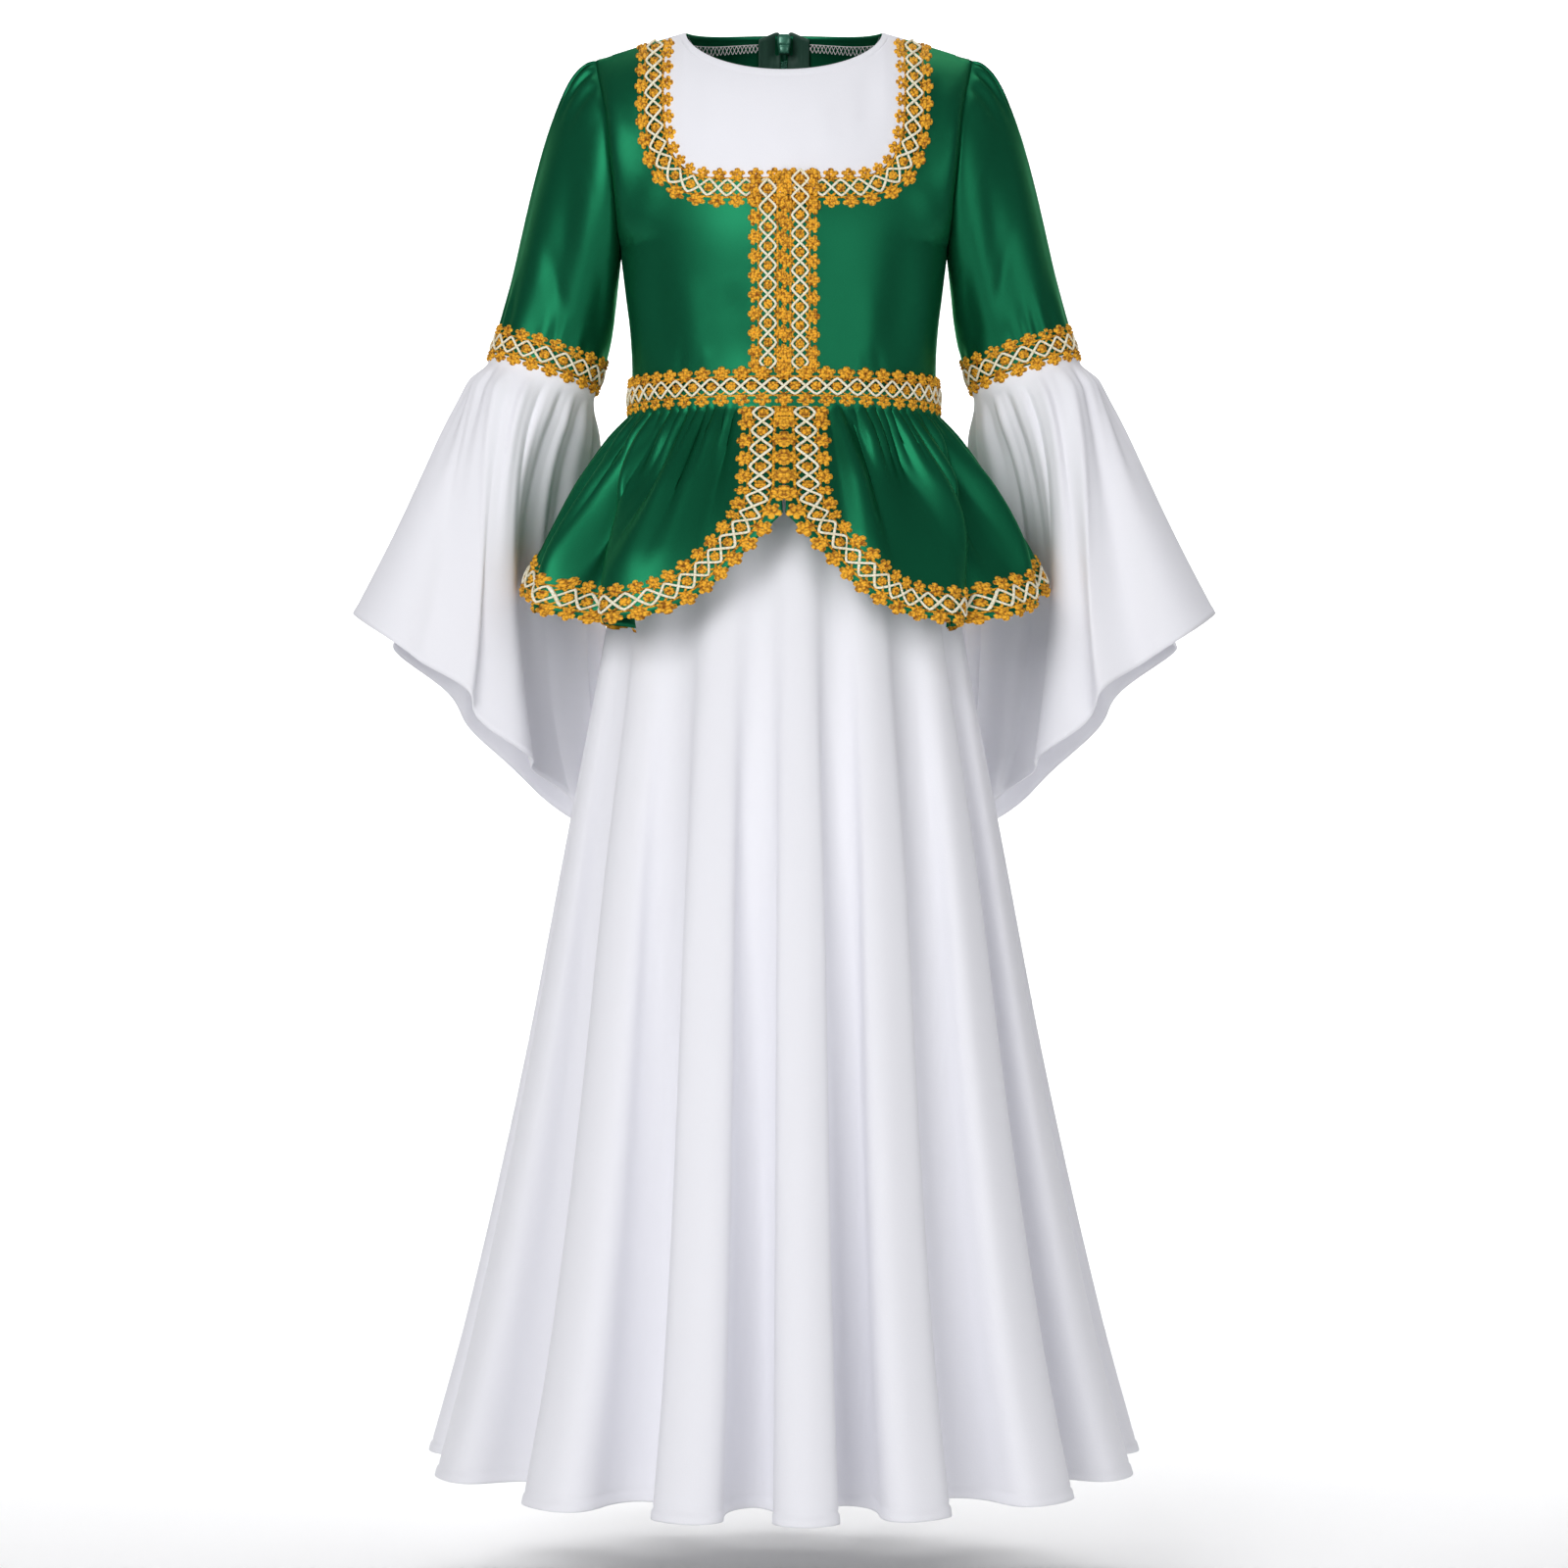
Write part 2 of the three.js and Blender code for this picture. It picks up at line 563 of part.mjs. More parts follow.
// Degrees that one fold takes beside the side and back seams.
const SIDE_FOLD_DEGREES = 22;

function makeSkirtPanel(name, fromAngle, toAngle) {
  const levels = [WAIST_Z - SEAM_GAP / 2, -292, -350, -442, -602, -778, -953, HEM_Z];
  const [from, to] = [foldAt(degToRad(fromAngle)), foldAt(degToRad(toAngle))];
  const columns = Math.round((to - from) * SKIRT_COLUMNS_PER_FOLD);
  const geometry = wall(levels.length - 1, columns, false, (r, c, face) => {
    const seam = radToDeg(SEAM_GAP / 2 / read(SKIRT, "z", "half", levels[r])) / SIDE_FOLD_DEGREES;
    const fold = lerp(from + seam, to - seam, c / columns);
    return moveOut(skirt, fold, levels[r], face ? 0 : -CLOTH);
  });
  add(name, geometry, WHITE);
}

// Lace.

// A strip of lace along a path. place(along, across, out) is a point of the cloth under it, moved out.
function makeLace(name, length, isRing, place) {
  const repeats = Math.max(2, Math.round(length / LACE_REPEAT));
  const columns = repeats * 2;
  const geometry = wall(1, columns, isRing, (r, c, face) => {
    const along = c / columns;
    const half = LACE_WIDTH / 2 - (c % 2 ? 0 : LACE_SCALLOP);
    return place(along, r ? half : -half, LACE_CLEAR + (face ? LACE_WALL : 0));
  });
  add(name, geometry, GOLD);
}

function makeNeckLace() {
  const half = LACE_LINE.getLength();
  makeLace("lace_neckline", half * 2, false, (along, across, out) => {
    const t = 2 * along - 1;
    const spot = LACE_LINE.getPointAt(Math.abs(t));
    const way = LACE_LINE.getTangentAt(clamp(Math.abs(t), 0.001, 0.98));
    const x = spot.x + way.y * across;
    const z = Math.min(spot.y - way.x * across, shoulderTop(true, x) - SHOULDER_SEAM - 1);
    return onSide(t < 0 ? -1 : 1, moveOut(front, frontAngle(x, z), z, out + LACE_CLEAR));
  });
}

// The front strips start on top of the neckline lace, so they stand off by its thickness.
const FRONT_LACE_TOP = -LACE_U.depth + LACE_WIDTH / 2 - 4;
const FRONT_LACE_CLEAR = 0.7;
const OVER_NECK_LACE = 2 * LACE_CLEAR + LACE_WALL + FRONT_LACE_CLEAR;
const WAIST_LACE_HALF = LACE_WIDTH / 2;

function makeFrontLace(side, name) {
  const bottom = WAIST_Z + WAIST_LACE_HALF + SEAM_GAP;
  makeLace(name, FRONT_LACE_TOP - bottom, false, (along, across, out) => {
    const z = lerp(FRONT_LACE_TOP, bottom, along);
    const x = LACE_WIDTH / 2 + SEAM_GAP + across;
    return onSide(side, moveOut(front, frontAngle(x, z), z, out + OVER_NECK_LACE));
  });
}

function makeWaistLace() {
  const half = TORSO[0].half;
  const middleDepth = (TORSO[0].front + TORSO[0].back) / 2;
  const round = Math.PI * (half + middleDepth);
  const slit = SEAM_GAP / half;
  const onPeplum = PEPLUM_INSIDE + CLOTH + LACE_CLEAR / 2;
  makeLace("lace_waist", round, false, (along, across, out) => {
    const angle = lerp(-Math.PI + slit, Math.PI - slit, along);
    const isFront = Math.cos(angle) >= 0;
    const z = WAIST_Z + Math.max(across, 0);
    const point = moveOut(isFront ? front : back, angle, z, out + onPeplum);
    return point.setZ(WAIST_Z + across);
  });
}

function makeSleeveLace(side, name) {
  const round = Math.PI * (ELBOW_HALF_WIDTH + ELBOW_HALF_DEPTH);
  makeLace(name, round, true, (along, across, out) => {
    const point = elbowRing(along * Math.PI * 2, out + LACE_ON_FOLDS + LACE_CLEAR);
    return onSide(side, point.addScaledVector(ARM_DOWN, across));
  });
}

// The peplum's lace runs down its front edge, round the cutaway corner and along the hem.
function peplumEdge() {
  const points = [];
  const start = WAIST_LACE_HALF + SEAM_GAP;
  const corner = hemDrop(0);
  for (let drop = start; drop < corner - 12; drop += 8) points.push(new THREE.Vector2(0, drop));
  for (let turn = 3; turn <= 180; turn += 3) points.push(new THREE.Vector2(turn, hemDrop(degToRad(turn))));
  return points;
}

function makePeplumLace(side, name) {
  const roundness = (drop) => lerp(TORSO[0].front, (PEPLUM_FRONT_DEPTH + PEPLUM_HALF_WIDTH) / 2, drop / 160);
  const flat = peplumEdge().map((p) => new THREE.Vector2(degToRad(p.x) * roundness(p.y), p.y));
  const curve = new THREE.SplineCurve(flat);
  curve.arcLengthDivisions = 600;
  makeLace(name, curve.getLength(), false, (along, across, out) => {
    const spot = curve.getPointAt(clamp(along, 0, 1));
    const way = curve.getTangentAt(clamp(along, 0.001, 0.999));
    const inward = LACE_WIDTH / 2 + 0.5 + across;
    const drop = spot.y - way.x * inward;
    const edge = PEPLUM_START * 2.5;
    const turned = spot.x / roundness(spot.y) + (way.y * inward) / roundness(drop);
    const angle = clamp(turned, edge, Math.PI - edge);
    const down = clamp(drop / hemDrop(angle), 0, 1);
    return onSide(side, offPeplum(angle, down, PEPLUM_INSIDE + CLOTH + out + LACE_ON_FOLDS));
  });
}

// Zip.

// The zip lies on the inside of the bodice's back and goes on down inside the skirt.
function zipPoint(x, z, inside) {
  const depth = CLOTH + ZIP_CLEAR + inside;
  if (z >= WAIST_Z) return moveOut(back, Math.PI - frontAngle(x, z), z, -depth);
  const inFold = Math.abs(x) * ZIP_SKIRT_BEND * smoothstep(WAIST_Z - z, 0, WAIST_Z - ZIP_END_Z);
  return new THREE.Vector3(x, skirt(0, z).y - depth - inFold, z);
}

function zipLevels() {
  const levels = [];
  const count = 12;
  for (let i = 0; i <= count; i += 1) levels.push(lerp(ZIP_TOP_Z, ZIP_END_Z, i / count));
  return levels;
}

function makeZipTape(side, name) {
  const levels = zipLevels();
  const geometry = wall(levels.length - 1, 1, false, (r, c, face) => {
    const x = ZIP_COIL_HALF + SEAM_GAP + c * ZIP_TAPE_WIDTH;
    return zipPoint(x * side, levels[r], c * ZIP_TAPE_SETTLES + (face ? 0 : ZIP_TAPE));
  });
  add(name, geometry, ZIP_GREEN);
}

function makeZipCoil() {
  const levels = zipLevels().map((z, i) => (i ? z : COIL_TOP_Z));
  const geometry = wall(levels.length - 1, 2, false, (r, c, face) => {
    const x = lerp(-ZIP_COIL_HALF, ZIP_COIL_HALF, c / 2);
    const crown = c === 1 ? COIL_CROWN : 0;
    return zipPoint(x, levels[r], face ? 0.1 : COIL_THICK + crown);
  });
  add("zip_coil", geometry, ZIP_GREEN);
}

// An outline drawn across the zip, given a thickness and laid square to the zip's own direction.
function plate(outline, hole, thickness) {
  const shape = new THREE.Shape(outline.map(([x, y]) => new THREE.Vector2(x, y)));
  if (hole) shape.holes.push(hole);
  const options = { depth: thickness, bevelEnabled: false, curveSegments: 8 };
  return new THREE.ExtrudeGeometry(shape, options).translate(0, 0, -thickness / 2);
}

// Slider inside the garment, its bridge through the slit, and the pull tab that hangs on the bridge.
// The head stands square on the back's slope: y points out of the cloth and z up along the slit.
function makeZipHead() {
  const seat = back(Math.PI, ZIP_HEAD_Z);
  const above = back(Math.PI, ZIP_HEAD_Z + 1);
  const head = new THREE.Group();
  head.position.copy(seat);
  head.rotation.x = Math.atan2(seat.y - above.y, 1);
  costume.add(head);

  const sliderInside = -CLOTH - ZIP_CLEAR - ZIP_TAPE - SLIDER_CLEAR;
  const sliderOutline = [[-2.6, -5.5], [2.6, -5.5], [3, 0], [4.2, 5.5], [-4.2, 5.5], [-3, 0]];
  const slider = new THREE.Mesh(plate(sliderOutline, null, SLIDER_WALL), METAL);
  slider.name = "zip_slider";
  slider.rotation.x = Math.PI / 2;
  slider.position.y = sliderInside - SLIDER_WALL / 2;
  head.add(slider);

  const inner = sliderInside + SEAM_GAP;
  const hole = new THREE.Path().absarc(PULL_AXIS_OUT, 0, PULL_BAR / 2 + PULL_PLAY, 0, Math.PI * 2, true);
  const tip = PULL_AXIS_OUT + PULL_BAR / 2 + PULL_PLAY + BRIDGE_RIM;
  const bridgeOutline = [[inner, -3], [tip - 1, -3], [tip, -1.6], [tip, 1.6], [tip - 1, 3], [inner, 3]];
  const bridge = new THREE.Mesh(plate(bridgeOutline, hole, BRIDGE_WALL), METAL);
  bridge.name = "zip_bridge";
  const axes = [[1, 0, 0], [0, 1, 0], [0, 0, 1]];
  const [acrossZip, outOfCloth, upZip] = axes.map((v) => new THREE.Vector3(...v));
  bridge.setRotationFromMatrix(new THREE.Matrix4().makeBasis(outOfCloth, upZip, acrossZip));
  head.add(bridge);

  const bar = PULL_BAR / 2;
  const loop = BRIDGE_WALL / 2 + 0.5;
  const pullOutline = [
    [-2.6, bar], [2.6, bar], [2.9, -8], [4, -PULL_LENGTH + 5], [3.2, -PULL_LENGTH + 1.4], [0, -PULL_LENGTH],
    [-3.2, -PULL_LENGTH + 1.4], [-4, -PULL_LENGTH + 5], [-2.9, -8],
  ];
  const corners = [[-loop, -bar], [-loop, -6], [loop, -6], [loop, -bar]];
  const opening = new THREE.Path(corners.map(([x, y]) => new THREE.Vector2(x, y)));
  const pull = new THREE.Mesh(plate(pullOutline, opening, PULL_BAR), METAL);
  pull.name = "zip_pull";
  pull.rotation.x = Math.PI / 2;
  pull.position.y = PULL_AXIS_OUT;
  head.add(pull);
}

makeYoke();
for (const [side, word] of [[1, "left"], [-1, "right"]]) {
  makeBodiceFront(side, `bodice_front_${word}`);
  makeBodiceBack(side, `bodice_back_${word}`);
  makeSleeve(side, `sleeve_upper_${word}`);
  makeFlounce(side, `sleeve_flounce_${word}`);
  makePeplum(side, `peplum_${word}`);
  makeFrontLace(side, `lace_front_${word}`);
  makeSleeveLace(side, `lace_sleeve_${word}`);
  makePeplumLace(side, `lace_peplum_${word}`);
  makeZipTape(side, `zip_tape_${word}`);
}
makeSkirtPanel("skirt_front", -90, 90);
makeSkirtPanel("skirt_back_left", 90, 180);
makeSkirtPanel("skirt_back_right", -180, -90);
makeNeckLace();
makeWaistLace();
makeZipCoil();
makeZipHead();

export default costume;
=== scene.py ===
# %% [markdown]
# A costume of satin, white cloth and gold lace
#
# The real thing is a child's renaissance costume, photographed as if an unseen wearer filled it:
# a green satin bodice with a white yoke, green sleeves that end in white bell flounces, a split
# green peplum over a long white skirt, and gold crochet lace along the edges.
# Each cut piece becomes its own thin sheet. Its shape is a formula of two numbers, one that runs
# round or across the piece and one that runs down it, worked out for a whole grid at once. That
# keeps neighbouring pieces exact at their seams, which modelling by hand or a cloth simulation
# would not, and lets the lace ride on the same formula as the cloth beneath it.

import math

import bpy
import numpy as np
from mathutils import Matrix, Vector


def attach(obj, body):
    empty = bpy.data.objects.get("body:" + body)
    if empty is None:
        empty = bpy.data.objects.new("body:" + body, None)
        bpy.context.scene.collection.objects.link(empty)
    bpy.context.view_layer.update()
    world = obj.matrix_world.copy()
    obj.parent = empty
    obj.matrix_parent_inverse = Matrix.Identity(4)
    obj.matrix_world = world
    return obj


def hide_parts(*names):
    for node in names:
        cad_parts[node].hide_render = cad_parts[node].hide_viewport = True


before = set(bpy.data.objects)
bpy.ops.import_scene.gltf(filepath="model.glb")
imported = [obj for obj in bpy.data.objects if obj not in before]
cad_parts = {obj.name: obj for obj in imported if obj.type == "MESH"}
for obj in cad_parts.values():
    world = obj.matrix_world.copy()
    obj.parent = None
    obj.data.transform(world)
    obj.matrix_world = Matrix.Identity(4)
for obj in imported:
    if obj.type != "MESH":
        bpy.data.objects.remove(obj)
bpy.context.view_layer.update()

# %% [markdown]
# Camera, light and floor
#
# The photograph was taken level with the middle of the costume, from a few metres away, on a white
# sweep under large soft lamps. A long, narrow view keeps the skirt's hem nearly straight, as it is
# there. Area lamps give the broad soft highlights that satin needs to be read as satin; small lamps
# would draw hard spots. The floor curves up into the backdrop, so no horizon line shows.

# %% Camera at the photograph's height
# Metres.
CAMERA_DISTANCE = 2.6
CAMERA_HEIGHT = -0.559
PICTURE_WIDTH = 1.168
FLOOR_HEIGHT = -1.16


def add_camera():
    """A level camera whose frame is PICTURE_WIDTH wide at the costume's own depth."""
    data = bpy.data.cameras.new("photograph_camera")
    data.sensor_fit = "AUTO"
    data.angle = 2 * math.atan(PICTURE_WIDTH / 2 / CAMERA_DISTANCE)
    camera = bpy.data.objects.new("photograph_camera", data)
    bpy.context.scene.collection.objects.link(camera)
    camera.location = (0, -CAMERA_DISTANCE, CAMERA_HEIGHT)
    camera.rotation_euler = (math.pi / 2, 0, 0)
    bpy.context.scene.camera = camera
    return camera


camera = add_camera()
print("field of view in degrees:", round(math.degrees(camera.data.angle), 2))

# %% Lamps and world light
LAMPS = [
    # name, place, aimed at, width, watts
    ("key", (-1.4, -3.0, 0.7), (0, 0, -0.45), 1.9, 63),
    ("fill", (2.0, -2.9, -0.1), (0, 0, -0.55), 2.2, 27),
    ("top", (0.2, 0.6, 1.9), (0, 0, -0.4), 1.6, 16),
    ("backdrop", (0.0, 1.6, 1.8), (0, 4.2, -0.2), 2.4, 150),
]
WORLD_LIGHT = 0.19
WORLD_COLOUR = (0.95, 0.95, 1, 1)


def add_lamp(name, place, target, width, watts):
    """A square area lamp turned so that its face looks at the target."""
    data = bpy.data.lights.new(name, "AREA")
    data.size = width
    data.energy = watts
    lamp = bpy.data.objects.new(name, data)
    bpy.context.scene.collection.objects.link(lamp)
    lamp.location = place
    lamp.rotation_euler = (Vector(target) - Vector(place)).to_track_quat("-Z", "Y").to_euler()
    return lamp


lamps = [add_lamp(*row) for row in LAMPS]
world = bpy.data.worlds.new("soft_white_room")
world.use_nodes = True
background = world.node_tree.nodes["Background"]
background.inputs["Color"].default_value = WORLD_COLOUR
background.inputs["Strength"].default_value = WORLD_LIGHT
bpy.context.scene.world = world
bpy.context.scene.view_settings.view_transform = "Standard"
print("lamps:", [lamp.name for lamp in lamps])

# %% [markdown]
# From a grid of points to a sheet of cloth
#
# A sheet is a grid: rows run down the piece and columns run across it. The helper below turns an
# array of points into a mesh, turns its faces outwards and gives it a cloth map in metres, measured
# along its own threads, so that a weave keeps its size wherever the piece is wide or narrow.
# The thickness comes from a Solidify modifier that grows inwards, which leaves the outside where
# the formula puts it.

# %% Grid mesh with a map measured in metres
# Shapes are worked out in millimetres; CLOTH is the thickness of every cut piece.
MM = 0.001
CLOTH = 1.1


def along(points, axis):
    """Length of thread from the first point of each line of the grid, along one axis, in metres."""
    steps = np.linalg.norm(np.diff(points, axis=axis), axis=2) * MM
    first = np.zeros_like(np.take(steps, [0], axis=axis))
    return np.concatenate([first, np.cumsum(steps, axis=axis)], axis=axis)


def grid_area(points):
    """Area of the grid in square metres: half the cross product of each cell's diagonals, added up."""
    one = points[1:, 1:] - points[:-1, :-1]
    other = points[1:, :-1] - points[:-1, 1:]
    return float(np.linalg.norm(np.cross(one, other), axis=2).sum() / 2 * MM * MM)


def grid_mesh(name, points, inner, ring=False):
    """Mesh of a rows x columns x 3 array of points in mm. inner is the point, or the array of points,
    that the faces look away from. A ring joins its last column to its first."""
    closed = np.concatenate([points, points[:, :1]], axis=1) if ring else points
    rows, columns = closed.shape[:2]
    width = columns - 1 if ring else columns
    r, c = np.meshgrid(np.arange(rows - 1), np.arange(columns - 1), indexing="ij")
    corner = [(r, c), (r, c + 1), (r + 1, c + 1), (r + 1, c)]
    normal = np.cross(closed[1:, 1:] - closed[:-1, :-1], closed[:-1, 1:] - closed[1:, :-1])
    from_point = inner[:-1, : columns - 1] if np.ndim(inner) == 3 else np.asarray(inner)
    away = closed[:-1, :-1] - from_point
    if (normal * away).sum() < 0:
        corner.reverse()
    vertex = np.stack([a * width + b % width for a, b in corner], axis=-1).reshape(-1, 4)
    texel = np.stack([a * columns + b for a, b in corner], axis=-1).reshape(-1)
    mesh = bpy.data.meshes.new(name)
    mesh.from_pydata((points.reshape(-1, 3) * MM).tolist(), [], vertex.tolist())
    cloth_map = np.stack([along(closed, 1), along(closed, 0)], axis=-1).reshape(-1, 2)
    layer = mesh.uv_layers.new(name="cloth_map")
    layer.data.foreach_set("uv", cloth_map[texel].astype(np.float32).ravel())
    mesh.polygons.foreach_set("use_smooth", np.ones(len(mesh.polygons), bool))
    piece = bpy.data.objects.new(name, mesh)
    bpy.context.scene.collection.objects.link(piece)
    return piece


# %% The floor that curves up into a backdrop
FLOOR_REACH, FLOOR_BACK, FLOOR_RADIUS = 9000.0, 2600.0, 1600.0


def add_floor():
    """A floor that turns up behind the costume: floor, quarter circle and wall, carried across."""
    turn = np.linspace(0, np.pi / 2, 24)
    curve = FLOOR_RADIUS * np.stack([np.sin(turn), 1 - np.cos(turn)], axis=1) + [FLOOR_BACK, 0]
    wall_top = [FLOOR_BACK + FLOOR_RADIUS, FLOOR_REACH]
    profile = np.concatenate([[[-FLOOR_REACH, 0.0]], curve, [wall_top]])
    points = np.zeros((len(profile), 3, 3))
    points[..., 0] = np.linspace(-FLOOR_REACH, FLOOR_REACH, 3)
    points[..., 1] = profile[:, :1]
    points[..., 2] = profile[:, 1:] + FLOOR_HEIGHT / MM
    far_below = np.array([0, 0, -1e6])
    return grid_mesh("studio_floor", points, far_below)


floor = add_floor()
print("floor height:", FLOOR_HEIGHT)

# %% [markdown]
# Satin, white cloth, yarn and nylon
#
# Satin is woven so that most threads lie on the surface in one direction. Light glances off them in
# long soft streaks, so its material is anisotropic along the cloth map, with a faint uneven sheen.
# The white cloth is a plain matt weave, a little blue in its shadows. The lace is crocheted from two
# yarns, gold and cream, whose stitches show as plump little cells. None of this needs a picture:
# noise and cells drawn in the cloth map stay the right size on every piece.

# %% Helpers that build a finish from shader nodes


def new_material(name, colour, roughness, **sockets):
    """A material with its constant values set straight on the shader's own sockets."""
    material = bpy.data.materials.new(name)
    material.use_nodes = True
    shader = material.node_tree.nodes["Principled BSDF"]
    shader.inputs["Base Color"].default_value = (*colour, 1)
    shader.inputs["Roughness"].default_value = roughness
    for socket, value in sockets.items():
        shader.inputs[socket.replace("_", " ")].default_value = value
    return material


def link(material, source, output, target, socket):
    """A wire from one node's output to another node's input, both by name."""
    material.node_tree.links.new(source.outputs[output], target.inputs[socket])


def add_node(material, kind, **values):
    """A node of one kind. Each value goes to the input of that name, or else to the node's setting."""
    node = material.node_tree.nodes.new(kind)
    for key, value in values.items():
        if key in node.inputs:
            node.inputs[key].default_value = value
        else:
            setattr(node, key, value)
    return node


def add_weave(material, threads_per_metre, strength, depth):
    """Bump from noise stretched along the cloth map's threads. Gives the noise, to tint with."""
    place = add_node(material, "ShaderNodeTexCoord")
    turned = add_node(material, "ShaderNodeMapping", Scale=threads_per_metre)
    noise = add_node(material, "ShaderNodeTexNoise", Scale=1.0, Detail=3.0, Roughness=0.6)
    bump = add_node(material, "ShaderNodeBump", Strength=strength, Distance=depth)
    link(material, place, "UV", turned, "Vector")
    link(material, turned, "Vector", noise, "Vector")
    link(material, noise, "Fac", bump, "Height")
    link(material, bump, "Normal", material.node_tree.nodes["Principled BSDF"], "Normal")
    return noise


def tint(material, source, output, low, high, span=(0.3, 0.7)):
    """Base colour that runs from low to high as the source's value crosses the span."""
    ramp = add_node(material, "ShaderNodeValToRGB")
    ramp.color_ramp.elements[0].color = (*low, 1)
    ramp.color_ramp.elements[1].color = (*high, 1)
    ramp.color_ramp.elements[0].position, ramp.color_ramp.elements[1].position = span
    link(material, source, output, ramp, "Fac")
    link(material, ramp, "Color", material.node_tree.nodes["Principled BSDF"], "Base Color")


# %% The finishes of this costume


def satin_green():
    """Half metallic, so that its highlights stay green, and stretched along the cloth map's threads."""
    satin = new_material("green_satin", (0.010, 0.150, 0.066), 0.40, Anisotropic=0.4, Metallic=0.7,
                         Specular_IOR_Level=0.5, Specular_Tint=(0.15, 1.0, 0.5, 1))
    noise = add_weave(satin, (900, 2600, 1), 0.25, 0.0002)
    tint(satin, noise, "Fac", (0.0062, 0.110, 0.049), (0.0084, 0.138, 0.062))
    tangent = add_node(satin, "ShaderNodeTangent", direction_type="UV_MAP", uv_map="cloth_map")
    link(satin, tangent, "Tangent", satin.node_tree.nodes["Principled BSDF"], "Tangent")
    return satin


def cloth_white():
    """Matt and slightly blue, with a trace of sheen where the cloth turns away."""
    cloth = new_material("white_cloth", (0.86, 0.86, 0.91), 0.78, Sheen_Weight=0.12,
                         Specular_IOR_Level=0.3)
    noise = add_weave(cloth, (2200, 2200, 1), 0.22, 0.0002)
    tint(cloth, noise, "Fac", (0.84, 0.84, 0.89), (0.91, 0.91, 0.95))
    return cloth


def yarn(name, painted_shade, light, cells):
    """Crochet yarn: plump stitches, in the yarn's own colour in the middle of each cell of a Voronoi
    pattern on the cloth map, with a painted shade between them, where the yarn sinks in."""
    thread = new_material(name, light, 0.7, Specular_IOR_Level=0.25)
    place = add_node(thread, "ShaderNodeTexCoord")
    stitch = add_node(thread, "ShaderNodeTexVoronoi", feature="F1")
    stitch.inputs["Scale"].default_value = cells
    stitch.inputs["Randomness"].default_value = 0.7
    bump = add_node(thread, "ShaderNodeBump", Strength=0.8, Distance=0.0006)
    bump.invert = True
    link(thread, place, "UV", stitch, "Vector")
    link(thread, stitch, "Distance", bump, "Height")
    link(thread, bump, "Normal", thread.node_tree.nodes["Principled BSDF"], "Normal")
    # Painted shade: the base colour darkens from each cell's middle towards its edge, between the stitches.
    tint(thread, stitch, "Distance", light, painted_shade, (0.36, 0.80))
    return thread


SATIN = satin_green()
WHITE = cloth_white()
# The first colour of each yarn is painted shade between the stitches; the second is the yarn's own colour.
GOLD = yarn("gold_yarn", (0.24, 0.075, 0.003), (1.0, 0.50, 0.034), 560.0)
CREAM = yarn("cream_yarn", (0.80, 0.72, 0.46), (1.0, 0.97, 0.82), 700.0)
TAPE = new_material("zip_tape_green", (0.006, 0.052, 0.030), 0.62, Sheen_Weight=0.2)
ENAMEL = new_material("zip_enamel", (0.035, 0.170, 0.110), 0.3, Metallic=0.4, Coat_Weight=0.4)
COIL = new_material("zip_coil_green", (0.045, 0.190, 0.130), 0.4)
FLOOR = new_material("studio_white", (0.93, 0.93, 0.93), 0.9)
floor.data.materials.append(FLOOR)
print("finishes:", [m.name for m in (SATIN, WHITE, GOLD, CREAM, TAPE, ENAMEL)])

# %% [markdown]
# Reading the cut from short tables
#
# A pattern cutter works from a few measured levels and a smooth curve through them. The same is done
# here: each table holds what the costume measures at a handful of heights or directions, and a cubic
# that passes through every row fills in the rest. Few numbers keep the shapes fair, and changing one
# changes the cloth and the lace together.

# %% Smooth values between the rows of a table


def read(table, column, at, span=0.0):
    """Value of one column at each of an array of places. Between two rows it is the cubic that meets
    both rows with the slope from the row before to the row after. A table that goes round repeats
    after span."""
    key = np.array([row[0] for row in table["rows"]], float)
    value = np.array([row[table["columns"].index(column)] for row in table["rows"]], float)
    if span:
        key = np.concatenate([key[-2:] - span, key, key[:3] + span])
        value = np.concatenate([value[-2:], value, value[:3]])
    if key[0] > key[-1]:
        key, value = key[::-1], value[::-1]
    slope = np.empty_like(value)
    slope[1:-1] = (value[2:] - value[:-2]) / (key[2:] - key[:-2])
    slope[0] = (value[1] - value[0]) / (key[1] - key[0])
    slope[-1] = (value[-1] - value[-2]) / (key[-1] - key[-2])
    at = np.asarray(at, float)
    i = np.clip(np.searchsorted(key, at) - 1, 0, len(key) - 2)
    width = key[i + 1] - key[i]
    t = np.clip((at - key[i]) / width, 0, 1)
    rise = t * t * (3 - 2 * t)
    lead = t * (1 - t) * (1 - t)
    follow = t * t * (t - 1)
    bend = width * (slope[i] * lead + slope[i + 1] * follow)
    return value[i] * (1 - rise) + value[i + 1] * rise + bend


def smoothstep(at, low, high):
    """0 below low, 1 above high and a smooth S between them."""
    t = np.clip((at - low) / (high - low), 0, 1)
    return t * t * (3 - 2 * t)


def moved_out(surface, a, b, distance):
    """Points of a surface moved along its normal, which is the cross product of its two directions."""
    step = 1e-3
    way_a = surface(a + step, b) - surface(a - step, b)
    way_b = surface(a, b + step * 10) - surface(a, b - step * 10)
    normal = np.cross(way_a, way_b)
    normal /= np.linalg.norm(normal, axis=-1, keepdims=True) + 1e-12
    return surface(a, b) + normal * np.asarray(distance)[..., None]


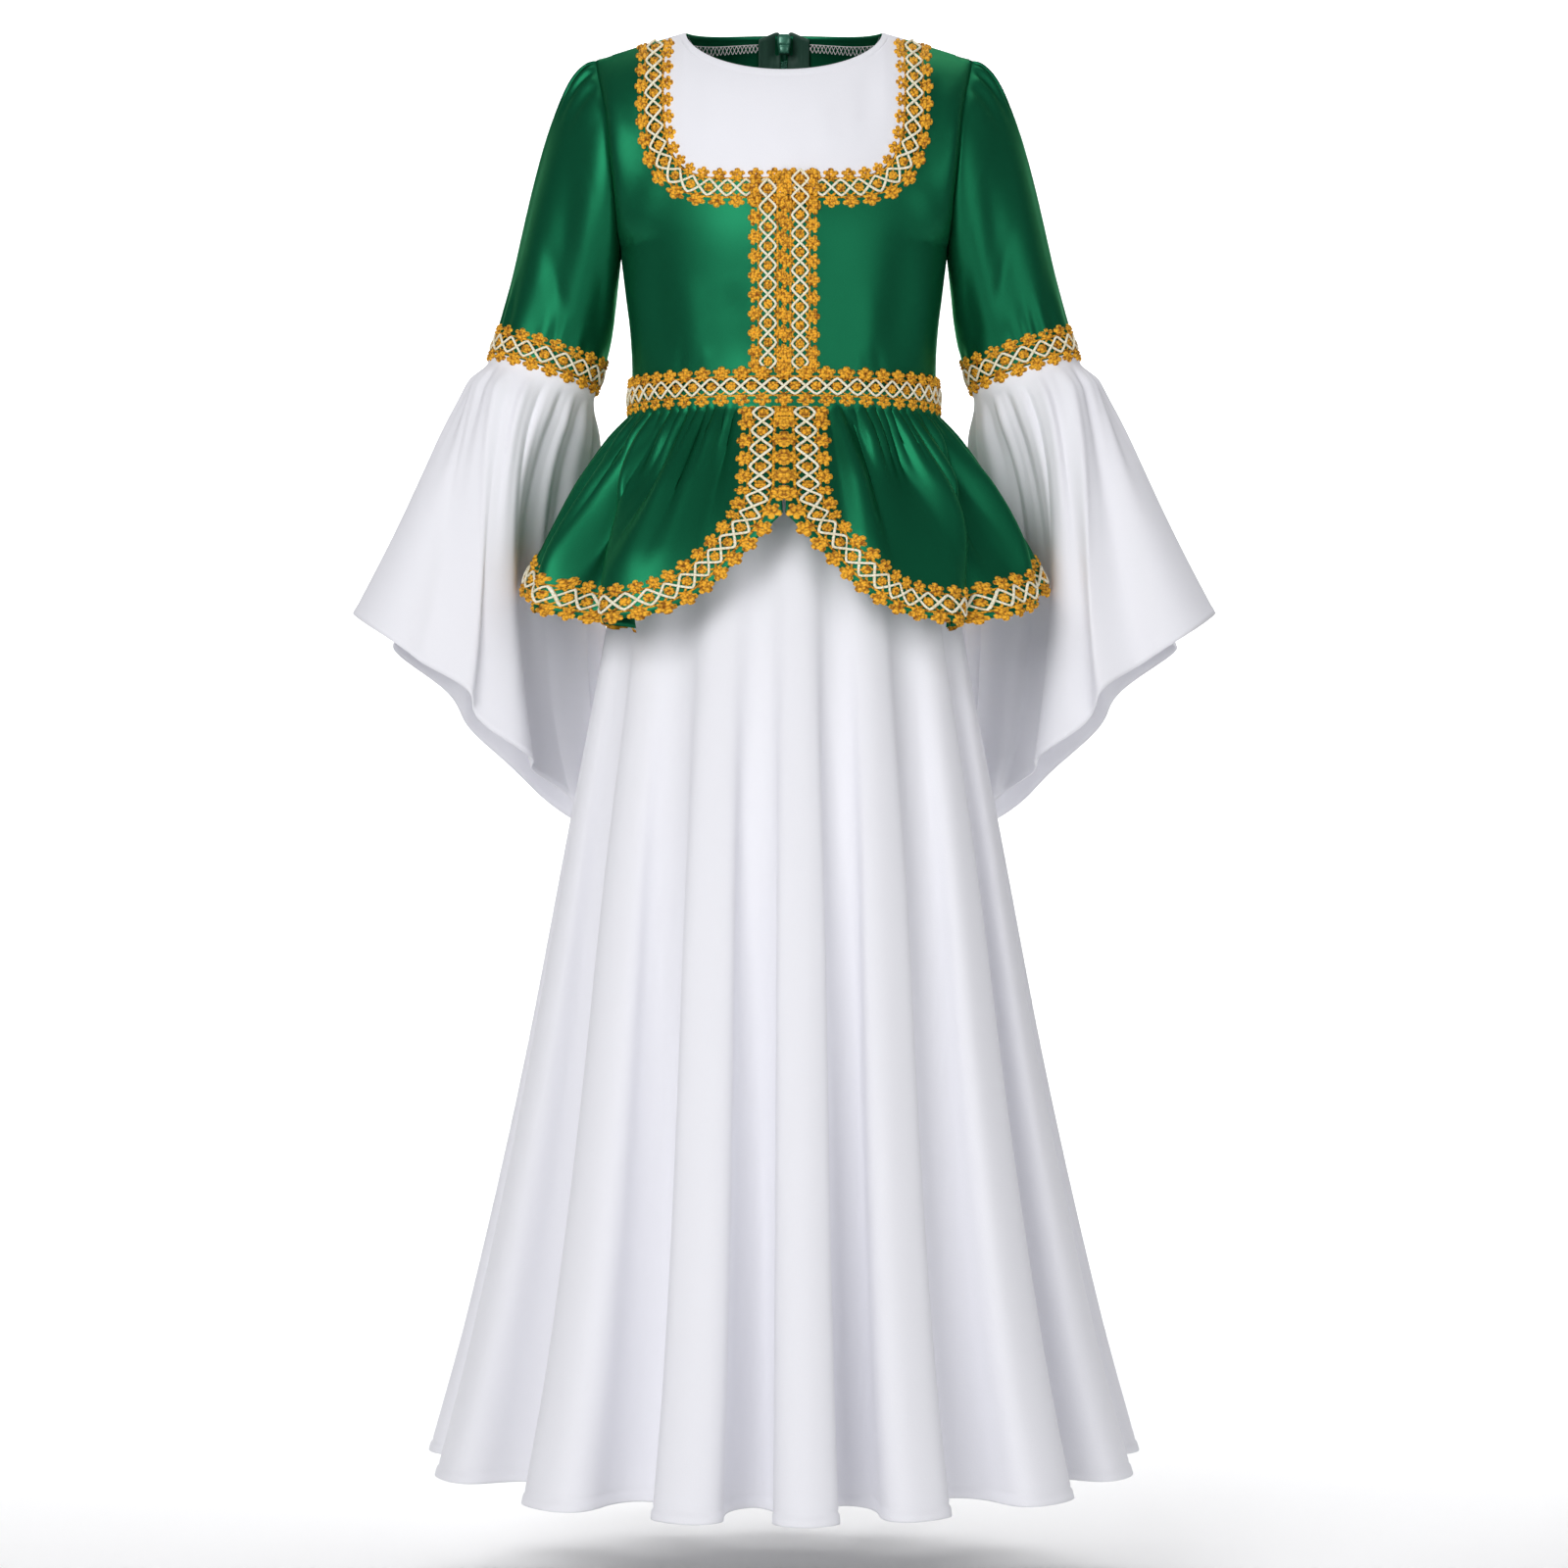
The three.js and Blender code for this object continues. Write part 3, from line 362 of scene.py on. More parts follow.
def soft_creases(table, a, b):
    """Height of the listed creases at the places (a, b). Each row runs from one place to another and is a
    bell across its width; it fades in and out along its length. A negative height is a trough."""
    lift = np.zeros(np.broadcast(a, b).shape)
    for a0, b0, a1, b1, height, width in table:
        da, db = a1 - a0, b1 - b0
        t = ((a - a0) * da + (b - b0) * db) / (da * da + db * db)
        near = np.clip(t, 0, 1)
        away = np.hypot(a - a0 - da * near, b - b0 - db * near)
        fade = smoothstep(near, -0.1, 0.35) * (1 - smoothstep(near, 0.6, 1.08))
        lift = lift + height * np.exp(-((away / width) ** 2)) * fade
    return lift


straight = {"columns": ["z", "v"], "rows": [(0, 1), (1, 2), (2, 3)]}
print("middle of a straight table:", read(straight, "v", 0.5))

# %% [markdown]
# Bodice: the green body and the white yoke
#
# The bodice is cut from two fronts and two backs, and the white yoke is let in above a deep square
# neckline. It fits closely, so its form is the wearer's trunk: an oval whose half width and depths
# are read at ten levels. The armhole pushes the oval outwards near the side. Fine pulls run from the
# underarm and from the waist seam, because the cloth hangs from the shoulders and is held at the waist.

# %% The trunk's surface
WAIST_Z, UNDERARM_Z, SHOULDER_TIP_Z, SHOULDER_TIP_X = -272.0, -160.0, -20.0, 139.0
NECK_HALF, FRONT_NECK_DROP, BACK_NECK_RISE, NAPE_RISE = 73.0, 40.0, 12.0, 60.0
SEAM_GAP, SHOULDER_SEAM = 0.4, 0.35
ARMHOLE_PUSH, SHOULDER_ROUNDING = 38.0, 30.0
WAIST_HALF, WAIST_FRONT, WAIST_BACK = 113.0, 82.0, 78.0
TRUNK = {
    "columns": ["z", "half", "front", "back"],
    "rows": [
        (WAIST_Z, WAIST_HALF, WAIST_FRONT, WAIST_BACK), (-251, 112, 83, 77), (-223, 113.5, 86, 78),
        (-194, 117, 89, 80),
        (-160, 121, 92, 83), (-130, 123.5, 91, 85), (-100, 126.5, 89, 86), (-60, 131, 85, 85),
        (-20, 139, 80, 82), (12, 139, 78, 80),
    ],
}


def shoulder_top(is_front, x):
    """Height of the shoulder seam above x: a straight slope outside the neck, and inside it level at
    the front and arched at the back, where the cloth rounds over to the nape."""
    wide = np.abs(x)
    slope = SHOULDER_TIP_Z * (wide - NECK_HALF) / (SHOULDER_TIP_X - NECK_HALF)
    inside = 0.0 * wide if is_front else NAPE_RISE * (1 - (wide / NECK_HALF) ** 2)
    return np.where(wide > NECK_HALF, slope, inside)


def armhole_depth(z):
    """Half of the armhole's width at height z: half an ellipse between the underarm and the shoulder."""
    middle, half = (UNDERARM_Z + SHOULDER_TIP_Z) / 2, (SHOULDER_TIP_Z - UNDERARM_Z) / 2
    return ARMHOLE_PUSH * np.sqrt(np.clip(1 - ((z - middle) / half) ** 2, 0, 1))


def trunk(is_front, angle, z):
    """x is the half width times the sine of the angle from the front middle, y is the depth times its
    cosine plus the armhole's push, and both fall to the shoulder seam as one minus e to the minus
    distance below it."""
    x = read(TRUNK, "half", z) * np.sin(angle)
    below = np.maximum(0, shoulder_top(is_front, x) - z)
    stands = read(TRUNK, "front" if is_front else "back", z) * np.abs(np.cos(angle))
    stands = stands + armhole_depth(z) * np.sin(angle) ** 8
    stands = stands * (1 - np.exp(-below / SHOULDER_ROUNDING))
    return np.stack(np.broadcast_arrays(x, -stands if is_front else stands, z), axis=-1)


def front_trunk(angle, z):
    """The front half, with angles from the front middle."""
    return trunk(True, angle, z)


def back_trunk(angle, z):
    """The back half, with angles from the front middle too, so the back middle is half a turn."""
    return trunk(False, angle, z)


def trunk_angle(x, z):
    """Angle from the front middle at which the trunk is x wide."""
    return np.arcsin(np.clip(x / read(TRUNK, "half", z), -1, 1))


bust = trunk(True, np.linspace(-1.57, 1.57, 60), np.full(60, -160.0))
print("front of the bust line in mm:", round(float(along(bust[None], 1)[0, -1] / MM)))

# %% The deep neckline, a rounded square: the yoke's seam and the middle of the lace that covers it
SEAM_U = (88.5, 123.5)
LACE_U = (95.0, 130.0)
U_SQUARENESS = 5


def evenly_spaced(points, count):
    """A line of (across, height) points spaced evenly by length, and the whole length."""
    length = np.concatenate([[0], np.cumsum(np.linalg.norm(np.diff(points, axis=0), axis=1))])
    even = np.linspace(0, length[-1], count)
    return np.stack([np.interp(even, length, points[:, k]) for k in (0, 1)], axis=1), length[-1]


def deep_neck_points(half, depth):
    """Half of the neckline from the front middle to the shoulder: x is its half width times a power of
    the sine, z is minus its depth times a power of the cosine, stopped at the shoulder seam. The
    points are then spaced evenly by length."""
    turn = np.linspace(0, np.pi / 2, 1500)
    x = half * np.sin(turn) ** (2 / U_SQUARENESS)
    z = -depth * np.cos(turn) ** (2 / U_SQUARENESS)
    z = np.minimum(z, shoulder_top(True, x) - SHOULDER_SEAM)
    return evenly_spaced(np.stack([x, z], axis=1), 600)


YOKE_SEAM = deep_neck_points(*SEAM_U)[0]
LACE_LINE, LACE_LINE_LENGTH = deep_neck_points(*LACE_U)


def on_line(line, share):
    """Point at a share of an evenly spaced line's length, straight between its own points."""
    at = np.clip(share, 0, 1) * (len(line) - 1)
    index = np.arange(len(line))
    return np.stack([np.interp(at, index, line[:, k]) for k in (0, 1)], axis=-1)


print("whole deep neckline under the lace, mm:", round(2 * LACE_LINE_LENGTH))

# %% Creases of the bodice, from (x, z) to (x, z), with their height and width in mm
FRONT_CREASES = {
    1: [
        (90, -148, 78, -266, -2.3, 12), (106, -168, 100, -264, 1.6, 8), (64, -196, 60, -264, 1.0, 9),
        (42, -190, 34, -262, -0.9, 9), (112, -54, 98, -118, -1.5, 12), (122, -40, 118, -90, 0.9, 7),
        (98, -120, 112, -158, 1.2, 10), (70, -266, 66, -238, -0.8, 4), (54, -266, 52, -244, 0.7, 4),
    ],
    -1: [
        (-98, -150, -84, -266, -2.2, 12), (-110, -172, -105, -264, 1.5, 8), (-70, -190, -62, -264, 1.1, 10),
        (-36, -196, -30, -262, -0.9, 9), (-104, -50, -94, -120, -1.4, 13), (-122, -46, -114, -96, 1.0, 8),
        (-92, -116, -108, -160, 1.3, 10), (-76, -266, -73, -236, -0.8, 4), (-58, -266, -55, -242, 0.6, 4),
    ],
}
BACK_CREASES = [
    (20, -262, 34, -150, 1.6, 9), (48, -266, 60, -190, -1.3, 7), (84, -264, 76, -200, 1.2, 7),
    (104, -170, 52, -224, -1.6, 9), (112, -196, 66, -256, 1.4, 8), (96, -60, 40, -104, 1.3, 12),
    (106, -52, 84, -140, -1.2, 9), (26, -30, 62, -66, 0.9, 10),
]


def make_sheet(points, name, node, inner, material, ring=False, thickness=CLOTH):
    """A grid of points as a finished sheet: meshed, given its finish and its thickness, set on its body
    and put in place of its solid."""
    piece = grid_mesh(name, points, inner, ring)
    piece.data.materials.append(material)
    wall = piece.modifiers.new("cloth_thickness", "SOLIDIFY")
    wall.thickness = thickness * MM
    wall.offset = -1
    wall.use_even_offset = False
    wall.use_quality_normals = True
    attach(piece, "root")
    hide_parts(node)
    return piece


SHEETS = []


def declare(points, piece, held, cut, closed=False):
    """Notes the sheet's cut, (width, length) in metres, with its area, and prints its size on the surface.
    """
    whole = np.concatenate([points, points[:, :1]], axis=1) if closed else points
    area = grid_area(whole)
    SHEETS.append({"piece": piece, "held": held, "cut": cut, "area": area})
    across, down = along(whole, 1)[:, -1].max(), along(whole, 0)[-1].max()
    print(f"{piece.name}: {across:.3f} x {down:.3f} m on the surface, {area:.4f} m2, cut {cut}")


def trim_to_seams(points, is_front):
    """Stops a trunk panel at the shoulder and side seams, which lie in the plane y = 0."""
    y = points[..., 1]
    points[..., 1] = np.minimum(y, -SEAM_GAP / 2) if is_front else np.maximum(y, SEAM_GAP / 2)
    return points


def centre_line(points):
    """The point of the body's upright middle line at the height of each point."""
    return points * np.array([0, 0, 1.0])


# %% The two bodice fronts


def bodice_front_points(side):
    """Rows climb from the waist to the deep neckline's middle, and then along the neckline while the
    outer edge climbs the armhole. Columns run from the inner edge to the side seam by equal angles."""
    rise = np.concatenate([np.linspace(0, 1, 40)[:-1], np.linspace(1, 2, 64)])[:, None]
    low, high = np.clip(rise, 0, 1), np.clip(rise - 1, 0, 1)
    neck = on_line(YOKE_SEAM, high)
    on_neck = high > 0
    middle = SEAM_GAP / 2
    straight_z = WAIST_Z + middle + (-SEAM_U[1] - WAIST_Z - 2 * middle) * low
    inner_z = np.where(on_neck, neck[..., 1] - middle, straight_z)
    inner_x = np.where(on_neck, neck[..., 0] + middle, middle)
    outer_low = WAIST_Z + middle + (UNDERARM_Z - WAIST_Z - middle) * low
    outer_z = np.where(on_neck, UNDERARM_Z + (SHOULDER_TIP_Z - UNDERARM_Z) * high, outer_low)
    across = np.linspace(0, 1, 62)[None, :]
    inner_angle = trunk_angle(inner_x, inner_z)
    angle = inner_angle + (np.pi / 2 - 0.002 - inner_angle) * across
    plain_z = inner_z + (outer_z - inner_z) * across
    x = read(TRUNK, "half", plain_z) * np.sin(angle)
    top = shoulder_top(True, x) - SHOULDER_SEAM
    z = np.where(high == 1, top, np.minimum(plain_z, top - (1 - high) * 2))
    lift = bodice_front_lift(side, angle, z)
    points = trim_to_seams(moved_out(front_trunk, angle, z, lift), True)
    points[..., 0] *= side
    return points


def bodice_front_lift(side, angle, z):
    """Creases of one front, faded out at the waist seam, the shoulder and the armhole seam."""
    x = read(TRUNK, "half", z) * np.sin(angle) * side
    free = smoothstep(z, WAIST_Z, WAIST_Z + 22) * (1 - smoothstep(z, -45, -15))
    return soft_creases(FRONT_CREASES[side], x, z) * free * (1 - smoothstep(np.abs(angle), 1.35, 1.55))


for side, word in ((1, "left"), (-1, "right")):
    points = bodice_front_points(side)
    name, node = f"satin_front_{word}", f"bodice_front_{word}"
    piece = make_sheet(points, name, node, centre_line(points), SATIN)
    declare(points, piece, "hung", (0.178, 0.262))

# %% The two bodice backs, with the zip's slit between them
ZIP_TOP_Z, ZIP_END_Z, ZIP_SLIT = 13.0, -352.0, 1.7


def bodice_back_points(side):
    """Rows climb from the waist seam to the neck and shoulder edge; columns go from the zip's slit to
    the side seam, closer together towards the side."""
    underarm = (UNDERARM_Z - WAIST_Z) / (SHOULDER_TIP_Z - WAIST_Z)
    rise = np.concatenate([np.linspace(0, underarm, 40)[:-1], np.linspace(underarm, 1, 64)])[:, None]
    across = np.linspace(0, 1, 60)[None, :]
    x = SHOULDER_TIP_X * np.sin(across * np.pi / 2)
    edge = np.where(x < NECK_HALF, BACK_NECK_RISE * (1 - (x / NECK_HALF) ** 2), shoulder_top(False, x))
    bottom = WAIST_Z + SEAM_GAP / 2
    z = bottom + (edge - SHOULDER_SEAM - bottom) * rise
    opened = smoothstep(z, ZIP_TOP_Z - 24, ZIP_TOP_Z - 12)
    slit = (SEAM_GAP + (ZIP_SLIT - SEAM_GAP) * opened) / read(TRUNK, "half", z)
    turn = slit + (np.pi / 2 - 0.002 - slit) * across
    free = smoothstep(z, WAIST_Z, WAIST_Z + 22) * (1 - smoothstep(z, -45, -15))
    free = free * (1 - smoothstep(turn, 1.35, 1.55))
    lift = soft_creases(BACK_CREASES, read(TRUNK, "half", z) * np.sin(turn) + 3 * (side < 0), z) * free
    points = trim_to_seams(moved_out(back_trunk, np.pi - turn, z, lift), False)
    points[..., 0] *= side
    return points


for side, word in ((1, "left"), (-1, "right")):
    points = bodice_back_points(side)
    name, node = f"satin_back_{word}", f"bodice_back_{word}"
    piece = make_sheet(points, name, node, centre_line(points), SATIN)
    declare(points, piece, "hung", (0.172, 0.286))

# %% The white yoke with its turned neck hem
YOKE_CREASES = [
    (-60, -30, -52, -104, 0.9, 9), (-30, -60, -34, -118, -0.8, 8), (24, -58, 30, -112, 0.8, 9),
    (62, -34, 58, -100, -0.9, 9), (80, -22, 76, -84, 0.8, 8), (0, -66, 3, -120, 0.6, 12),
]
NECK_HEM = 5.0


def yoke_points():
    """Columns share out the neck edge and the deep neckline; rows go straight from one to the other on
    the pattern. A shallow groove at NECK_HEM below the edge is the turned hem's line of stitches."""
    share = np.linspace(0, 1, 110)[None, :]
    fall = np.linspace(0, 1, 64)[:, None]
    turn = np.pi * (share - 0.5)
    neck = np.stack([NECK_HALF * np.sin(turn), -FRONT_NECK_DROP * np.cos(turn)], axis=-1)
    low = on_line(YOKE_SEAM, np.abs(2 * share - 1))
    low_x = (low[..., 0] - SEAM_GAP / 2) * np.sign(2 * share - 1)
    low = np.stack([low_x, low[..., 1] + SEAM_GAP / 2], axis=-1)
    spot = neck + (low - neck) * fall[..., None]
    x = spot[..., 0]
    z = np.minimum(spot[..., 1], shoulder_top(True, x) - SHOULDER_SEAM)
    from_edge = np.linalg.norm(spot - neck, axis=-1)
    groove = np.exp(-((from_edge - NECK_HEM) / 0.7) ** 2)
    hem = 0.35 * (1 - smoothstep(from_edge, NECK_HEM - 1, NECK_HEM)) - 0.5 * groove
    lift = hem + soft_creases(YOKE_CREASES, x, z) * smoothstep(from_edge, 5, 20)
    lift = lift * (1 - smoothstep(z, -14, -4))
    return trim_to_seams(moved_out(front_trunk, trunk_angle(x, z), z, lift), True)


points = yoke_points()
yoke = make_sheet(points, "cloth_yoke", "yoke_front", centre_line(points), WHITE)
declare(points, yoke, "hung", (0.205, 0.145))

# %% [markdown]
# Sleeves and flounces
#
# The upper sleeve is a fitted satin tube, eased into the armhole with a few small gathers at its top.
# At the elbow a bell flounce of white cloth is gathered on: it is a big circle of cloth, so it drops in
# deep, soft folds that end in a slanting hem, short outside the arm and long towards the hand.
# Both are cubic curves from one ring to the next, one for each direction round the arm, so the tube
# leaves the armhole and meets the elbow square to its seams. Its first row tucks under the bodice's edge
# like a seam allowance, so no light shows between them, and its last rows lap over the flounce's cuff,
# because green shows through the lace there.

# %% The sleeve's surface
ELBOW_CENTRE = np.array([178.0, 30.0, -240.0])
ELBOW_LEAN = math.radians(18)
ELBOW_HALF_WIDTH, ELBOW_HALF_DEPTH = 41.0, 36.0
ARM_OUT = np.array([math.cos(ELBOW_LEAN), 0, math.sin(ELBOW_LEAN)])
ARM_DOWN = np.array([math.sin(ELBOW_LEAN), 0, -math.cos(ELBOW_LEAN)])
ARM_FRONT = np.array([0, -1.0, 0])


def elbow_ring(around, grow=0.0):
    """An oval square to the arm: half width along ARM_OUT times the cosine, half depth along ARM_FRONT
    times the sine."""
    wide = (ELBOW_HALF_WIDTH + grow) * np.cos(around)
    deep = (ELBOW_HALF_DEPTH + grow) * np.sin(around)
    return ELBOW_CENTRE + wide[..., None] * ARM_OUT + deep[..., None] * ARM_FRONT


def cubic(start, start_way, end, end_way, t):
    """The cubic curve that leaves start along start_way and reaches end along end_way."""
    t = t[..., None]
    rise = t * t * (3 - 2 * t)
    return start * (1 - rise) + end * rise + start_way * t * (1 - t) ** 2 + end_way * t * t * (t - 1)


def armhole_point(around):
    """The armhole's edge: height from the cosine, and the front or the back edge by the sine's sign."""
    z = UNDERARM_Z + (SHOULDER_TIP_Z - UNDERARM_Z) * (1 + np.cos(around)) / 2
    edge = front_trunk(np.full_like(z, np.pi / 2), z)
    y = np.where(np.sin(around) >= 0, edge[..., 1], -edge[..., 1])
    return np.stack([edge[..., 0] + SEAM_GAP + 0.2, y, z], axis=-1)


def plain_sleeve(around, down):
    """Cubic from the armhole to the elbow ring. It leaves the shoulder almost level and the underarm
    almost straight down."""
    around, down = np.broadcast_arrays(around, down)
    top = (1 + np.cos(around)) / 2
    start_way = np.stack([8 + 107 * top, -12 * np.sin(around), -78 + 53 * top], axis=-1)
    end_way = ARM_DOWN * (90 + 105 * top)[..., None]
    return cubic(armhole_point(around), start_way, elbow_ring(around), end_way, down)


# Creases from (direction round the arm in degrees, share of the way down) to the same, height, width.
# One degree counts as much as 0.006 of the way down, which makes both about equal on the cloth.
DEGREE = 0.006
SLEEVE_CREASES = {
    1: [
        (40, 0.20, 62, 0.98, 1.8, 0.09), (84, 0.26, 92, 0.98, -1.9, 0.08),
        (112, 0.30, 118, 0.96, 1.6, 0.08), (140, 0.40, 136, 0.90, -1.4, 0.08),
        (8, 0.34, 24, 0.92, -1.3, 0.09), (66, 0.56, 112, 0.74, -0.9, 0.05),
        (206, 0.28, 222, 0.94, 1.6, 0.09), (250, 0.24, 258, 0.96, -1.7, 0.09),
        (296, 0.30, 290, 0.96, 1.4, 0.09), (330, 0.40, 338, 0.92, -1.2, 0.08),
        (170, 0.40, 178, 0.92, 1.3, 0.08),
    ],
    -1: [
        (48, 0.22, 56, 0.98, 1.9, 0.09), (76, 0.30, 88, 0.98, -1.8, 0.08),
        (104, 0.24, 114, 0.96, 1.4, 0.08), (134, 0.34, 142, 0.92, -1.5, 0.08),
        (14, 0.30, 20, 0.90, -1.4, 0.09), (58, 0.62, 104, 0.78, -0.9, 0.05),
        (200, 0.30, 214, 0.94, 1.5, 0.09), (244, 0.28, 262, 0.94, -1.6, 0.09),
        (300, 0.26, 286, 0.96, 1.5, 0.09), (326, 0.36, 342, 0.92, -1.2, 0.08),
        (166, 0.44, 182, 0.90, 1.3, 0.08),
    ],
}
CAP_GATHERS = {"columns": ["around", "lift"], "rows": [
    (-70, 0), (-58, 0.9), (-50, -0.8), (-41, 1.3), (-33, -1.0), (-26, 1.4), (-17, -1.2), (-9, 1.5),
    (-2, -1.1), (6, 1.3), (13, -1.3), (22, 1.5), (30, -1.0), (38, 1.2), (47, -0.9), (55, 0.8), (70, 0),
]}
SEAM_PINCH = 0.9


def sleeve_lift(side, around, down):
    """Creases, the cap's gathers that fade out down the sleeve, the shorter ones eased into the cuff,
    and a soft hollow at both seams."""
    turn = np.degrees(around) % 360
    table = [(a * DEGREE, b, c * DEGREE, *rest) for a, b, c, *rest in SLEEVE_CREASES[side]]
    creases = soft_creases(table, turn * DEGREE, down)
    near_top = (turn + 180) % 360 - 180
    gathers = read(CAP_GATHERS, "lift", np.clip(near_top, -70, 70))
    gathers = gathers * smoothstep(down, 0.012, 0.07) * (1 - smoothstep(down, 0.10, 0.34))
    eased = smoothstep(down, 0.74, 0.93) * (1 - smoothstep(down, 0.97, 1.0))
    gathers = gathers + 0.8 * eased * np.sin(15 * around + 1.8 * np.sin(4 * around + side))
    free = smoothstep(down, 0.03, 0.12) * (1 - smoothstep(down, 0.95, 1.0))
    pinch = SEAM_PINCH * (np.exp(-((down / 0.03) ** 2)) + np.exp(-(((1 - down) / 0.02) ** 2)))
    return creases * free + gathers - pinch


def ring_grid(columns, downs):
    """Directions round the arm, one column short of a full turn, and the rows' shares of the way down."""
    return np.linspace(0, 2 * np.pi, columns, endpoint=False)[None, :], np.asarray(downs)[:, None]


def arm_line(points):
    """The middle of each row of a sleeve, repeated for its columns."""
    return np.broadcast_to(points.mean(axis=1, keepdims=True), points.shape)


SEAM_TUCK = np.array([-2.2, 0, 0])
SATIN_LAP = 8.5

for side, word in ((1, "left"), (-1, "right")):
    around, down = ring_grid(144, [0.012, *np.linspace(0.012, 0.999, 76)])
    around, down = np.broadcast_arrays(around, down)
    points = moved_out(plain_sleeve, around, down, sleeve_lift(side, around, down))
    points[0] += SEAM_TUCK
    lap = elbow_ring(around[:5], 0.5) + ARM_DOWN * np.linspace(1, SATIN_LAP, 5)[:, None, None]
    points = np.concatenate([points, lap]) * np.array([side, 1, 1])
    name, node = f"satin_sleeve_{word}", f"sleeve_upper_{word}"
    piece = make_sheet(points, name, node, arm_line(points), SATIN, True)
    declare(points, piece, "hung", (0.345, 0.235), True)

# %% The flounce's surface
CUFF, CUFF_SHARE = 15.0, 0.07
FLOUNCE_HEM = {
    "columns": ["around", "out", "back", "z", "push_out", "push_back"],
    "rows": [
        (0, 317, 12, -433, 0, 0), (30, 272, -20, -466, 0, 0), (55, 240, -22, -489, 0, 0),
        (80, 214, 0, -520, 5, 0),
        (105, 191, 24, -542, 16, 6), (130, 174, 52, -560, 22, 16), (155, 157, 85, -577, 20, 22),
        (180, 142, 118, -595, 1, 29), (205, 136, 141, -604, -8, 18), (230, 168, 150, -587, -4, 9),
        (255, 217, 134, -545, 0, 0), (290, 256, 98, -495, 0, 0), (325, 296, 52, -453, 0, 0),
    ],
}
FLOUNCE_RIPPLES = {
    1: [(7, 1.9, 0.4), (11, 1.0, 2.1), (17, 0.35, 1.0)],
    -1: [(7, 1.7, 1.5), (11, 1.1, 0.3), (17, 0.35, 2.6)],
}
HEM_ROLL = 0.5
FLOUNCE_FOLDS, FLOUNCE_FOLD_HEIGHT, FLOUNCE_FOLD_SHIFT = 5, 9, 6


def flounce(side, around, down):
    """A cuff pressed flat under the lace, then a cubic to the slanting hem, pushed clear of the peplum
    half way. On it lie a swell below the cuff, gathers that fade by the middle, five big folds that
    deepen towards the hem and lean over sideways by a sine of twice their angle, and finer ripples."""
    around, down = np.broadcast_arrays(around, down)
    turn = np.degrees(around) % 360

    def hem(column):
        return read(FLOUNCE_HEM, column, turn, 360.0)

    gathered_on = SEAM_GAP / 2 + CUFF * np.minimum(1, down / CUFF_SHARE)
    start = elbow_ring(around) + ARM_DOWN * gathered_on[..., None]
    end = np.stack([hem("out"), hem("back"), hem("z")], axis=-1)
    reach = np.linalg.norm(end - start, axis=-1, keepdims=True)
    free = np.maximum(0, (down - CUFF_SHARE) / (1 - CUFF_SHARE))
    point = cubic(start, ARM_DOWN * reach * 0.62, end, end - start, free)
    pushed = 4 * free * (1 - free)
    point[..., 0] += hem("push_out") * pushed
    point[..., 1] += hem("push_back") * pushed
    gathered = smoothstep(down, 0.07, 0.17) * (1 - smoothstep(down, 0.2, 0.75))
    folded = smoothstep(down, 0.15, 1)
    swell = 7 * smoothstep(down, 0.07, 0.2) * (1 - smoothstep(down, 0.3, 0.9))
    fold = FLOUNCE_FOLDS * around - 1.2 + 0.5 * np.sin(2 * around)
    swell = swell + 1.9 * gathered * np.cos(13 * around + 0.9 * np.sin(3 * around))
    swell = swell + FLOUNCE_FOLD_HEIGHT * folded * np.cos(fold)
    fine = smoothstep(down, 0.12, 0.45)
    for count, height, phase in FLOUNCE_RIPPLES[side]:
        swell = swell + height * fine * np.sin(count * around + phase + 1.3 * down)
    swell = swell + 0.5 * gathered * np.cos(31 * around + 2.0 * np.sin(3 * around))
    swell = swell + HEM_ROLL * smoothstep(down, 0.977, 0.982)
    outward = elbow_ring(around, 1.0) - elbow_ring(around)
    outward /= np.linalg.norm(outward, axis=-1, keepdims=True)
    sideways = elbow_ring(around + 0.01) - elbow_ring(around)
    sideways /= np.linalg.norm(sideways, axis=-1, keepdims=True)
    shift = FLOUNCE_FOLD_SHIFT * folded * np.sin(2 * fold)
    return point + outward * swell[..., None] + sideways * shift[..., None]


for side, word in ((1, "left"), (-1, "right")):
    around, down = ring_grid(250, [*np.linspace(0, 0.2, 20)[:-1], *np.linspace(0.2, 1, 50)])
    points = flounce(side, around, down) * np.array([side, 1, 1])
    name, node = f"cloth_flounce_{word}", f"sleeve_flounce_{word}"
    piece = make_sheet(points, name, node, arm_line(points), WHITE, True)
    declare(points, piece, "gathered", (0.86, 0.40), True)

# %% [markdown]
# Peplum
#
# The peplum is a short overskirt in two halves that part at the front in rounded corners. Each is
# gathered along the waist seam: many narrow folds start there, run together into fewer, broader ones
# and die out above the lace, whose weight holds the hem smooth.

# %% The peplum's surface
HEM_DROP = {"columns": ["angle", "drop"], "rows": [
    (0, 94), (8, 121), (16, 147), (23, 163), (32, 170), (48, 170), (68, 158), (90, 143), (120, 147),
    (150, 154), (180, 156),
]}
PEPLUM_FOLDS = {"columns": ["angle", "height"], "rows": [
    (14, 0), (33, 10), (45, -13), (60, 8), (75, -1), (90, 5), (102, -2), (118, 4), (136, -5), (156, 6),
    (170, -3),
]}
PEPLUM_BAND, PEPLUM_GATHERS = 16.0, 34
PEPLUM_HALF, PEPLUM_FRONT, PEPLUM_BACK = 189.0, 128.0, 116.0
PEPLUM_START = SEAM_GAP / WAIST_HALF
GATHER_PHASES = {1: (0.6, 2.2, 1.1), -1: (1.9, 0.5, 2.7)}
